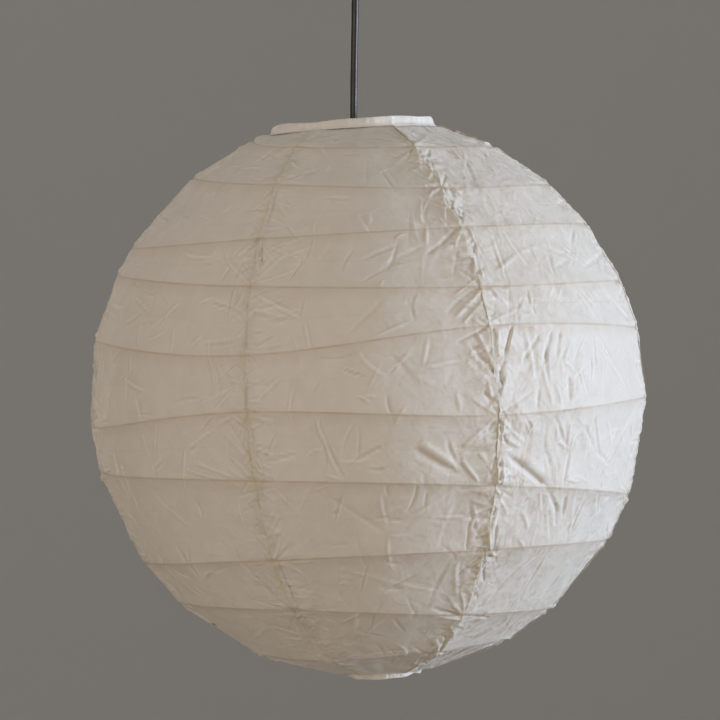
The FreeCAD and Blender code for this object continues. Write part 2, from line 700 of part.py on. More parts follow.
def nodes():
    """Every named piece with its solid, in the row frame."""
    pieces = {
        "ceiling_plate": rose_plate(),
        "rose_cup": rose_cup(),
        "cup_tabs": cup_tabs(),
        "cup_screws": cup_screws(),
        "cord_bush": rose_bush(),
        "bush_nut": bush_nut(),
        "bush_grub_screw": grub_hole(0.0),
        "terminal_block": terminal_block(),
        "terminal_screws": terminal_screws(),
        "cord": cord(),
        "cord_tail": hang(cord_tail()),
        "cord_grip": hang(cord_grip()),
        "lampholder_cap": hang(lampholder_cap()),
        "lampholder_skirt": hang(lampholder_skirt()),
        "contact_base": hang(contact_base()),
        "screw_shell": hang(screw_shell()),
        "centre_contact": hang(centre_contact()),
        "contact_screws": hang(contact_screws()),
        "clamp_ring_upper": hang(clamp_ring(HUB_TOP + GLUE_GAP)),
        "clamp_ring_lower": hang(clamp_ring(HUB_UNDER - GLUE_GAP - RING_HEIGHT)),
        "hub_plate": hang(hub_plate()),
        "expander_leg_left": hang(expander_leg(-1)),
        "expander_leg_right": hang(expander_leg(1)),
        "top_hoop": hang(hoop(TOP_MOUTH, TOP_HOOP_Z)),
        "top_lip": hang(lip(TOP_MOUTH, TOP_LIP_BASE, TOP_LIP)),
        "bottom_hoop": hang(hoop(BOTTOM_MOUTH, BOTTOM_HOOP_Z)),
        "bottom_lip": hang(lip(BOTTOM_MOUTH, BOTTOM_LIP_BASE, -BOTTOM_LIP)),
        "spiral_rib": hang(spiral_rib()),
    }
    for index in range(1, ARM_COUNT + 1):
        pieces["spider_arm_%d" % index] = hang(spider_arm(index))
    for index in range(1, GORE_COUNT + 1):
        pieces["paper_gore_%d" % index] = hang(paper_gore(index))
    return pieces


os.makedirs("parts", exist_ok=True)
for name, shape in nodes().items():
    shape.exportStep("parts/%s.step" % name)
    print("%-20s %2d solids %9.0f mm3 valid %s" % (name, len(shape.Solids), shape.Volume, shape.isValid()))
print("axis x %.2f, centre z %.2f, hub z %.2f, pivot z %.2f" % (AXIS_X, CENTRE_Z, HUB_Z, PIVOT_Z))
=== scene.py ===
"""Looks of a creased paper globe lamp shade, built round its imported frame.

Everything is in metres in the frame's own axes: +Z up, -Y the front. Azimuths are degrees round
the globe's axis from the front towards +X, and latitudes are degrees above its widest level.
"""

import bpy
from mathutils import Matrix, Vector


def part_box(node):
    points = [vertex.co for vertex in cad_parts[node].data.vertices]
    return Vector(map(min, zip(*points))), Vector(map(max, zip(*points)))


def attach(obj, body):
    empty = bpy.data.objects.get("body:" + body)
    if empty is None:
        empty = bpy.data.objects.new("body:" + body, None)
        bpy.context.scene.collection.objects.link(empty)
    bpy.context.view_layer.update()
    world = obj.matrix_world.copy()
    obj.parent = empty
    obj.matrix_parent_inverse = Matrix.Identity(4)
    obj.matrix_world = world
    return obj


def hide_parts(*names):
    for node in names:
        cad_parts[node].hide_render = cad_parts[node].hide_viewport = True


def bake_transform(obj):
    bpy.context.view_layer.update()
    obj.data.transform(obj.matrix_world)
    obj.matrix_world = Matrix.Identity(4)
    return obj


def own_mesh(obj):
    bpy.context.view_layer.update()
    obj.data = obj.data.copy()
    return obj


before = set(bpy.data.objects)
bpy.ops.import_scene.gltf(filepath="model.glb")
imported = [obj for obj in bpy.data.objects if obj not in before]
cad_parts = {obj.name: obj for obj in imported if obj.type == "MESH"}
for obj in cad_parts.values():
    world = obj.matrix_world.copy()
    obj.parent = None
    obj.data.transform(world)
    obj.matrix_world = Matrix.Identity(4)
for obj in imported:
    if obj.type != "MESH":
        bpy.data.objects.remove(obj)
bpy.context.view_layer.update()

import logging
import math
from dataclasses import dataclass, field
from enum import Enum
from typing import Callable, Sequence

import bpy
import numpy as np
from mathutils import Matrix, Vector

log = logging.getLogger("lamp_shade")

MM = 0.001
GORE_COUNT = 7
GORE_ANGLE = 360.0 / GORE_COUNT
FIRST_SEAM = -2.5 * GORE_ANGLE     # azimuth where the spiral rib starts
Colour = tuple[float, float, float]

# Latitude at which each turn of the rib crosses each seam, from the top turn down
RIB_LATITUDES = (
    (70.5, 68.5, 62.5, 59.5, 59.5, 58.5, 56.5),
    (54.5, 54.0, 49.0, 45.0, 45.5, 44.0, 40.5),
    (38.0, 35.0, 34.5, 34.5, 34.5, 32.5, 31.5),
    (29.5, 28.5, 24.0, 21.0, 21.0, 20.0, 17.5),
    (16.5, 14.5, 10.0, 13.0, 11.0, 9.0, 4.0),
    (1.0, -3.0, -1.0, -4.5, -3.5, -4.5, -8.5),
    (-10.0, -12.5, -14.5, -18.5, -23.5, -26.5, -29.0),
    (-32.0, -33.0, -32.0, -32.5, -34.0, -36.0, -39.0),
    (-41.0, -44.0, -45.5, -50.0, -52.5, -55.0, -58.0),
    (-62.0, -64.5, -66.5, -64.5, -63.5, -66.5, -71.0),
)


# Folds with places of their own: azimuth and latitude of both ends in degrees, then height and
# half width in millimetres. Heights below zero are valleys.
PLANNED_FOLDS = (
    (22.5, 12.5, 25.5, 5.0, 1.3, 2.2),
    (21.0, 10.0, 26.5, 2.5, -1.8, 3.0),
    (26.5, 13.0, 26.0, 5.5, -1.3, 2.0),
    (27.5, 12.5, 27.0, 6.5, 1.1, 2.0),
    (31.0, 13.0, 28.0, 6.0, -1.5, 2.2),
    (31.5, 13.0, 29.5, 8.0, 1.1, 2.0),
    (27.5, 5.0, 26.0, -1.0, -2.0, 2.6),
    (28.5, 3.0, 26.5, -0.5, 1.6, 2.0),
    (38.0, 11.0, 32.5, 5.5, -1.5, 2.6),
    (41.0, 11.5, 37.5, 4.0, -1.8, 3.0),
    (37.5, 4.0, 39.0, -3.5, 1.2, 3.0),
    (43.5, 11.5, 41.5, 5.5, -1.4, 3.0),
    (43.0, 6.0, 46.5, 3.0, 1.2, 2.4),
    (44.5, 2.5, 44.0, -3.0, -1.7, 3.4),
    (54.5, 10.5, 53.5, 3.0, -1.4, 1.8),
    (72.5, 6.5, 77.0, -2.5, -1.4, 2.0),
    (40.5, 1.5, 41.5, -3.5, 1.0, 2.6),
    (36.0, 0.5, 35.0, -4.0, -1.0, 2.4),
    (20.0, 6.5, 22.0, 4.5, 0.9, 2.2),
    (24.0, 2.0, 24.5, -1.0, 1.1, 2.0),
    (17.5, 1.0, 18.0, -3.5, 0.7, 3.0),
    (9.0, 4.5, 13.5, 2.0, 0.6, 4.5),
    (27.0, -6.0, 26.5, -10.0, 1.6, 1.8),
    (27.0, -9.0, 31.5, -11.0, 1.8, 2.2),
    (28.0, -7.0, 31.0, -8.5, -1.2, 2.0),
    (27.5, -12.0, 40.0, -20.5, -3.0, 3.6),
    (31.0, -12.5, 40.5, -18.5, 0.9, 6.0),
    (27.0, -12.5, 27.5, -18.5, 1.4, 2.4),
    (33.0, -17.5, 32.0, -19.5, 1.0, 2.0),
    (45.0, -12.5, 44.0, -20.0, -1.6, 2.2),
    (40.5, -6.5, 41.0, -10.5, 1.0, 2.4),
    (41.0, -10.5, 45.0, -12.5, 1.1, 2.0),
    (44.5, -7.0, 44.0, -12.0, 1.2, 2.4),
    (38.0, -12.0, 39.5, -15.5, -1.0, 2.4),
    (48.5, -7.5, 53.5, -13.0, -1.1, 2.4),
    (53.5, -13.0, 61.0, -16.5, -0.9, 2.4),
    (9.5, -8.5, 17.5, -14.5, 2.0, 4.5),
    (8.0, -9.5, 17.5, -15.5, -1.6, 4.5),
    (18.0, -12.5, 22.0, -17.5, 1.7, 1.8),
    (16.5, -10.0, 25.0, -11.5, -1.1, 3.0),
    (70.5, -8.5, 72.0, -12.5, -1.8, 2.4),
    (25.5, -20.5, 25.5, -24.0, 1.2, 2.0),
    (14.5, -24.0, 27.5, -25.5, -1.0, 2.6),
    (21.0, -25.5, 21.0, -32.5, -1.2, 2.0),
    (22.0, -25.0, 21.0, -28.5, 1.0, 2.0),
    (25.0, -26.5, 27.0, -33.0, 1.6, 2.0),
    (27.5, -26.5, 28.0, -33.0, -1.4, 2.0),
    (43.0, -23.0, 46.0, -29.5, -1.4, 2.0),
    (33.5, -24.0, 37.0, -29.0, 1.0, 2.4),
    (34.5, -30.5, 37.5, -33.5, 1.0, 2.0),
    (30.0, 24.0, 38.5, 28.0, 1.5, 2.0),
    (38.5, 28.0, 45.5, 29.5, 1.2, 2.0),
    (58.0, 24.0, 80.0, 28.0, -1.4, 2.2),
    (46.5, 24.0, 56.0, 26.5, -1.0, 2.2),
    (27.0, 21.5, 18.0, 14.5, 1.1, 2.2),
    (27.0, 21.5, 31.0, 17.0, 1.2, 2.0),
    (31.0, 17.0, 36.5, 15.0, -0.9, 2.4),
    (21.0, 54.0, 26.0, 55.0, 1.3, 1.8),
    (27.0, 46.5, 27.0, 42.0, -1.4, 3.0),
    (27.0, 41.5, 24.0, 37.5, 1.6, 2.0),
    (16.5, 35.5, 15.5, 31.0, 1.0, 2.0),
    (15.5, 31.0, 4.5, 26.5, -0.8, 2.6),
    (83.0, 41.0, 67.5, 39.5, -1.2, 2.0),
    (26.5, 35.0, 27.5, 31.0, 1.4, 1.8),
    (27.5, 31.0, 26.0, 28.0, -1.4, 1.8),
    (26.0, 28.0, 24.5, 23.5, 1.4, 1.8),
    (26.5, 25.0, 26.5, 23.0, 1.4, 1.8),
    (5.0, 20.0, -4.0, 12.0, -0.6, 3.0),
    (-10.0, -18.0, 2.0, -27.0, -0.7, 3.0),
    (-27.0, 4.0, -35.0, 1.0, 0.7, 2.4),
    (-24.0, 6.0, -24.2, -0.5, 2.0, 1.3),
    (-24.2, -2.0, -23.2, -7.4, 1.9, 1.3),
    (-23.6, -7.6, -19.5, -9.6, 1.7, 1.5),
    (-24.6, -10.2, -22.0, -13.4, 1.6, 1.3),
    (-22.0, -13.4, -22.8, -9.8, 1.2, 1.3),
    (-24.4, 13.5, -23.8, 9.8, 1.5, 1.3),
    (-23.6, 22.5, -12.0, 16.5, 1.2, 2.2),
    (-23.5, 18.5, -15.5, 16.5, -0.9, 2.6),
    (-24.0, 31.5, -22.5, 26.5, 1.4, 1.5),
    (-12.0, 16.5, -10.5, 9.0, 1.0, 2.0),
    (-36.0, -4.5, -26.5, 4.0, 1.2, 2.0),
    (-32.0, -3.5, -25.0, -0.5, 0.8, 2.2),
    (-38.0, 12.0, -35.0, 14.5, 1.0, 1.6),
    (-35.0, 12.5, -26.0, 12.8, -0.9, 2.6),
    (-43.0, 17.0, -42.5, 11.0, 0.8, 2.0),
    (-54.0, 4.0, -50.0, -4.5, -1.1, 2.2),
    (-66.0, 8.0, -66.5, -1.5, -1.4, 1.8),
    (-66.5, -6.5, -65.0, -17.0, -1.4, 1.8),
    (-40.0, -7.5, -42.5, -17.0, 1.0, 2.0),
    (-39.0, -10.0, -28.0, -14.0, 0.9, 2.2),
    (-10.5, -2.5, -7.0, -14.0, 1.1, 2.0),
    (-9.0, -7.0, -5.0, -16.0, -1.0, 2.2),
)


# How far each seam strays from its even place, in degrees, at latitudes -60, -30, 0, 30 and 60
SEAM_LEVELS = (-60.0, -30.0, 0.0, 30.0, 60.0)
SEAM_STRAYS = (
    (0.6, -0.4, 0.5, 0.2, -0.5),
    (-0.5, 0.4, -0.6, 0.3, 0.6),
    (0.4, 1.1, 1.6, 1.5, 0.8),
    (0.3, -0.2, 0.0, -0.7, -1.7),
    (-0.4, 0.5, 0.3, -0.5, 0.4),
    (0.5, -0.3, -0.6, 0.4, 0.2),
    (-0.3, 0.6, 0.4, -0.4, -0.6),
)


class Body(Enum):
    """Rigid bodies of the frame that pieces ride on."""

    ROSE = "ceiling_rose"
    HOLDER = "lampholder"
    GLOBE = "globe"
    BOTTOM = "bottom_ring"


# ---------------------------------------------------------------- places taken from the frame


@dataclass(frozen=True)
class GlobePlace:
    """Where the globe is: its axis, its centre's height and its sizes."""

    axis_x: float
    centre_z: float
    radius: float
    top_mouth: float
    bottom_mouth: float
    top_edge: float
    bottom_edge: float

    @classmethod
    def read(cls) -> "GlobePlace":
        """Work the globe's place out from the boxes of the paper's nodes.

        Returns:
            The place, in metres.
        """
        lip_low, lip_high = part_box("top_lip")
        hem_low, hem_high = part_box("bottom_lip")
        gore_low, gore_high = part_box("paper_gore_1")
        top_mouth = (lip_high.x - lip_low.x) / 2
        bottom_mouth = (hem_high.x - hem_low.x) / 2
        radius = -gore_low.y
        centre = gore_low.z + math.sqrt(radius ** 2 - bottom_mouth ** 2)
        return cls(
            axis_x=(lip_low.x + lip_high.x) / 2,
            centre_z=centre,
            radius=radius,
            top_mouth=top_mouth,
            bottom_mouth=bottom_mouth,
            top_edge=math.degrees(math.asin((gore_high.z - centre) / radius)),
            bottom_edge=math.degrees(math.asin((gore_low.z - centre) / radius)),
        )

    @property
    def arc(self) -> float:
        """Millimetres of paper per degree on the globe."""
        return math.radians(1.0) * self.radius / MM


# ---------------------------------------------------------------- mesh helpers


def new_mesh(name: str, points: np.ndarray, faces: Sequence[Sequence[int]]) -> bpy.types.Object:
    """Make a smooth-shaded mesh object.

    Args:
        name: Name of the piece.
        points: Vertex positions, one row each.
        faces: Vertex numbers of each face.

    Returns:
        The linked object.
    """
    mesh = bpy.data.meshes.new(name)
    mesh.from_pydata(np.asarray(points).tolist(), [], [list(face) for face in faces])
    mesh.update()
    mesh.polygons.foreach_set("use_smooth", [True] * len(mesh.polygons))
    piece = bpy.data.objects.new(name, mesh)
    bpy.context.scene.collection.objects.link(piece)
    return piece


def grid_faces(rows: int, columns: int, wrap: bool = False, first: int = 0) -> np.ndarray:
    """Quads of a grid of vertices.

    Args:
        rows: Number of vertex rows.
        columns: Number of vertices in each row.
        wrap: Whether the last column joins the first.
        first: Number of the grid's first vertex.

    Returns:
        One row of four vertex numbers per quad.
    """
    row = np.arange(rows - 1)[:, None]
    column = np.arange(columns if wrap else columns - 1)[None, :]
    after = (column + 1) % columns
    corner = first + row * columns + column
    corner_after = first + row * columns + after
    quads = np.stack([corner, corner_after, corner_after + columns, corner + columns], axis=-1)
    return quads.reshape(-1, 4)


def smooth_step(value: np.ndarray) -> np.ndarray:
    """Smooth rise from 0 to 1 over the unit range."""
    held = np.clip(value, 0.0, 1.0)
    return held * held * (3 - 2 * held)


def float_attribute(piece: bpy.types.Object, name: str, values: np.ndarray) -> None:
    """Store one number per vertex for the materials to read."""
    attribute = piece.data.attributes.new(name, "FLOAT", "POINT")
    attribute.data.foreach_set("value", np.asarray(values, dtype=np.float32).ravel())


# ---------------------------------------------------------------- node helpers


class NodeBoard:
    """Builds shader nodes in a material or in a node group."""

    def __init__(self, tree: bpy.types.NodeTree) -> None:
        """Start on an empty tree."""
        self.tree = tree
        tree.nodes.clear()

    def add(self, kind: str, **settings: object) -> bpy.types.Node:
        """Add a node and set its properties or plain input values.

        Args:
            kind: Blender's node type.
            settings: Node properties, or inputs by name with spaces as underscores.

        Returns:
            The new node.
        """
        node = self.tree.nodes.new(kind)
        for name, value in settings.items():
            if hasattr(node, name):
                setattr(node, name, value)
            else:
                node.inputs[name.replace("_", " ")].default_value = value
        return node

    def link(self, source: bpy.types.NodeSocket, target: bpy.types.NodeSocket) -> None:
        """Join an output to an input."""
        self.tree.links.new(source, target)

    def math(self, operation: str, first: object, second: object = 0.0,
             clamp: bool = False) -> bpy.types.NodeSocket:
        """Arithmetic on sockets or numbers.

        Args:
            operation: Name of the Math node's operation.
            first: Socket or number.
            second: Socket or number.
            clamp: Whether the result stays between 0 and 1.

        Returns:
            The result's socket.
        """
        node = self.add("ShaderNodeMath", operation=operation, use_clamp=clamp)
        for place, value in enumerate((first, second)):
            if isinstance(value, bpy.types.NodeSocket):
                self.link(value, node.inputs[place])
            else:
                node.inputs[place].default_value = value
        return node.outputs[0]

    def vector(self, operation: str, first: bpy.types.NodeSocket, second: object) -> bpy.types.NodeSocket:
        """Arithmetic of a vector with a socket, a plain vector or, when scaling, a number.

        Args:
            operation: Name of the Vector Math node's operation.
            first: Vector's socket.
            second: Socket, plain vector or number.

        Returns:
            The result's socket.
        """
        node = self.add("ShaderNodeVectorMath", operation=operation)
        self.link(first, node.inputs[0])
        target = node.inputs["Scale"] if operation == "SCALE" else node.inputs[1]
        if isinstance(second, bpy.types.NodeSocket):
            self.link(second, target)
        else:
            target.default_value = second
        return node.outputs[0]

    def ramp(self, value: bpy.types.NodeSocket, low: float, high: float,
             start: float = 0.0, end: float = 1.0) -> bpy.types.NodeSocket:
        """Clamped straight-line map from one range to another."""
        node = self.add("ShaderNodeMapRange", clamp=True)
        for name, number in (("From Min", low), ("From Max", high), ("To Min", start), ("To Max", end)):
            node.inputs[name].default_value = number
        self.link(value, node.inputs["Value"])
        return node.outputs["Result"]

    def mix(self, share: object, first: object, second: object) -> bpy.types.NodeSocket:
        """Mix two colours, each a socket or a plain colour."""
        node = self.add("ShaderNodeMix", data_type="RGBA")
        for place, value in ((0, share), (6, first), (7, second)):
            if isinstance(value, bpy.types.NodeSocket):
                self.link(value, node.inputs[place])
            elif place:
                node.inputs[place].default_value = (*value, 1.0)
            else:
                node.inputs[place].default_value = value
        return node.outputs[2]

    def noise(self, place: bpy.types.NodeSocket, scale: float, detail: float = 3.0) -> bpy.types.NodeSocket:
        """Cloudy value from 0 to 1 at a scale in features per metre."""
        node = self.add("ShaderNodeTexNoise", Scale=scale, Detail=detail)
        self.link(place, node.inputs["Vector"])
        return node.outputs["Fac"]

    def stretched(self, place: bpy.types.NodeSocket, scale: Sequence[float]) -> bpy.types.NodeSocket:
        """Object coordinates scaled differently along each axis."""
        node = self.add("ShaderNodeMapping")
        node.inputs["Scale"].default_value = scale
        self.link(place, node.inputs["Vector"])
        return node.outputs["Vector"]

    def attribute(self, name: str) -> bpy.types.NodeSocket:
        """Number stored on each vertex."""
        return self.add("ShaderNodeAttribute", attribute_name=name).outputs["Fac"]

    def bump(self, height: bpy.types.NodeSocket, distance: float, strength: float = 1.0,
             normal: bpy.types.NodeSocket | None = None) -> bpy.types.NodeSocket:
        """Normal tilted by a height field."""
        node = self.add("ShaderNodeBump", Distance=distance, Strength=strength)
        self.link(height, node.inputs["Height"])
        if normal is not None:
            self.link(normal, node.inputs["Normal"])
        return node.outputs["Normal"]


@dataclass(frozen=True)
class SharedEffect:
    """A shader node group with named inputs and outputs, built once."""

    name: str
    inputs: tuple[str, ...]
    outputs: tuple[str, ...]
    draw: Callable[[NodeBoard, bpy.types.Node, bpy.types.Node], None]

    def group(self) -> bpy.types.NodeTree:
        """The group, made on first use.

        Returns:
            The node tree.
        """
        if self.name in bpy.data.node_groups:
            return bpy.data.node_groups[self.name]
        tree = bpy.data.node_groups.new(self.name, "ShaderNodeTree")
        for name in self.inputs:
            tree.interface.new_socket(name=name, in_out="INPUT", socket_type="NodeSocketFloat")
        for name in self.outputs:
            kind = "NodeSocketVector" if name == "Normal" else "NodeSocketFloat"
            tree.interface.new_socket(name=name, in_out="OUTPUT", socket_type=kind)
        board = NodeBoard(tree)
        self.draw(board, board.add("NodeGroupInput"), board.add("NodeGroupOutput"))
        return tree

    def place(self, board: NodeBoard, **values: float) -> bpy.types.Node:
        """Put the group in a material with its own values."""
        node = board.add("ShaderNodeGroup")
        node.node_tree = self.group()
        for name, value in values.items():
            node.inputs[name.replace("_", " ")].default_value = value
        return node


def scaled_noise(board: NodeBoard, place: bpy.types.NodeSocket, scale: bpy.types.NodeSocket,
                 detail: float) -> bpy.types.NodeSocket:
    """Cloudy value whose scale comes from a socket."""
    node = board.add("ShaderNodeTexNoise", Detail=detail)
    board.link(place, node.inputs["Vector"])
    board.link(scale, node.inputs["Scale"])
    return node.outputs["Fac"]


def draw_fibres(board: NodeBoard, given: bpy.types.Node, result: bpy.types.Node) -> None:
    """Long kozo fibres in two directions, and the cloudy formation of the sheet."""
    place = board.add("ShaderNodeTexCoord").outputs["Object"]
    layers = []
    for scale in ((1.0, 1.0, 7.0), (6.0, 6.0, 1.0)):
        fibre = scaled_noise(board, board.stretched(place, scale), given.outputs["Scale"], 2.0)
        ridge = board.math("ABSOLUTE", board.math("SUBTRACT", fibre, 0.5))
        layers.append(board.ramp(ridge, 0.0, 0.035, 1.0, 0.0))
    fibres = board.math("MAXIMUM", layers[0], layers[1])
    cloud = scaled_noise(board, place, board.math("MULTIPLY", given.outputs["Scale"], 0.35), 4.0)
    board.link(board.math("MULTIPLY", fibres, given.outputs["Amount"]), result.inputs["Fibres"])
    board.link(cloud, result.inputs["Cloud"])


def warped(board: NodeBoard, scale: float, detail: float, reach: float) -> bpy.types.NodeSocket:
    """Object coordinates pushed about by a noise, by up to a reach in metres."""
    place = board.add("ShaderNodeTexCoord").outputs["Object"]
    warp = board.add("ShaderNodeTexNoise", Scale=scale, Detail=detail)
    board.link(place, warp.inputs["Vector"])
    return board.vector("ADD", place, board.vector("SCALE", warp.outputs["Color"], reach))


def cells(board: NodeBoard, place: bpy.types.NodeSocket, scale: bpy.types.NodeSocket,
          factor: float) -> bpy.types.Node:
    """Cell pattern some times finer than a scale that comes from a socket."""
    node = board.add("ShaderNodeTexVoronoi", feature="F1", distance="EUCLIDEAN")
    board.link(place, node.inputs["Vector"])
    board.link(board.math("MULTIPLY", scale, factor), node.inputs["Scale"])
    return node


def draw_crumple(board: NodeBoard, given: bpy.types.Node, result: bpy.types.Node) -> None:
    """Small dents with sharp edges, as in paper that has been crushed."""
    place = warped(board, 35.0, 1.0, 0.03)
    heights = []
    for factor in (1.0, 2.7):
        dents = cells(board, place, given.outputs["Scale"], factor)
        heights.append(board.math("DIVIDE", dents.outputs["Distance"], factor))
    total = board.math("ADD", heights[0], heights[1])
    board.link(board.math("MULTIPLY", total, given.outputs["Amount"]), result.inputs["Height"])


def draw_facets(board: NodeBoard, given: bpy.types.Node, result: bpy.types.Node) -> None:
    """Normal of a sheet crushed into small flat facets, each tilted its own way."""
    place = warped(board, 45.0, 2.0, 0.022)
    normal = board.add("ShaderNodeNewGeometry").outputs["Normal"]
    for factor, share in ((1.0, 1.0), (2.6, 0.8)):
        facets = cells(board, place, given.outputs["Scale"], factor)
        tilt = board.vector("SUBTRACT", facets.outputs["Color"], (0.5, 0.5, 0.5))
        amount = board.math("MULTIPLY", given.outputs["Amount"], share)
        normal = board.vector("ADD", normal, board.vector("SCALE", tilt, amount))
    unit = board.add("ShaderNodeVectorMath", operation="NORMALIZE")
    board.link(normal, unit.inputs[0])
    board.link(unit.outputs[0], result.inputs["Normal"])


def draw_wear(board: NodeBoard, given: bpy.types.Node, result: bpy.types.Node) -> None:
    """Bright rubbed edges broken up by a fine noise."""
    place = board.add("ShaderNodeTexCoord").outputs["Object"]
    point = board.add("ShaderNodeNewGeometry").outputs["Pointiness"]
    edge = board.ramp(point, 0.505, 0.56)
    broken = board.ramp(board.noise(place, 420.0, 3.0), 0.4, 0.62)
    worn = board.math("MULTIPLY", edge, broken)
    board.link(board.math("MULTIPLY", worn, given.outputs["Amount"]), result.inputs["Mask"])


def draw_grain(board: NodeBoard, given: bpy.types.Node, result: bpy.types.Node) -> None:
    """Fine pebbled grain of a moulding and the faint clouds in its gloss."""
    place = board.add("ShaderNodeTexCoord").outputs["Object"]
    pebble = scaled_noise(board, place, given.outputs["Scale"], 2.0)
    cloud = board.noise(place, 38.0, 3.0)
    board.link(board.math("MULTIPLY", pebble, given.outputs["Amount"]), result.inputs["Height"])
    board.link(cloud, result.inputs["Cloud"])


def draw_streaks(board: NodeBoard, given: bpy.types.Node, result: bpy.types.Node) -> None:
    """Fine lines left along a drawn wire or a rolled sheet."""
    place = board.add("ShaderNodeTexCoord").outputs["Object"]
    lines = scaled_noise(board, board.stretched(place, (12.0, 12.0, 1.0)), given.outputs["Scale"], 3.0)
    board.link(board.math("MULTIPLY", lines, given.outputs["Amount"]), result.inputs["Height"])
    board.link(board.noise(place, 160.0, 3.0), result.inputs["Cloud"])


FIBRES = SharedEffect("washi_fibres", ("Scale", "Amount"), ("Fibres", "Cloud"), draw_fibres)
CRUMPLE = SharedEffect("paper_crumple", ("Scale", "Amount"), ("Height",), draw_crumple)
FACETS = SharedEffect("paper_facets", ("Scale", "Amount"), ("Normal",), draw_facets)
WEAR = SharedEffect("edge_wear", ("Amount",), ("Mask",), draw_wear)
GRAIN = SharedEffect("moulded_grain", ("Scale", "Amount"), ("Height", "Cloud"), draw_grain)
STREAKS = SharedEffect("drawn_streaks", ("Scale", "Amount"), ("Height", "Cloud"), draw_streaks)


# ---------------------------------------------------------------- finishes


@dataclass(frozen=True)
class Finish:
    """What every finish shares: a name and the way to start its material."""

    name: str

    def start(self) -> tuple[bpy.types.Material, NodeBoard, bpy.types.Node, bpy.types.Node]:
        """Make the material with its Principled shader and its output.

        Returns:
            The material, its board, the shader node and the output node.
        """
        material = bpy.data.materials.new(self.name)
        material.use_nodes = True
        board = NodeBoard(material.node_tree)
        shader = board.add("ShaderNodeBsdfPrincipled")
        output = board.add("ShaderNodeOutputMaterial")
        board.link(shader.outputs["BSDF"], output.inputs["Surface"])
        return material, board, shader, output


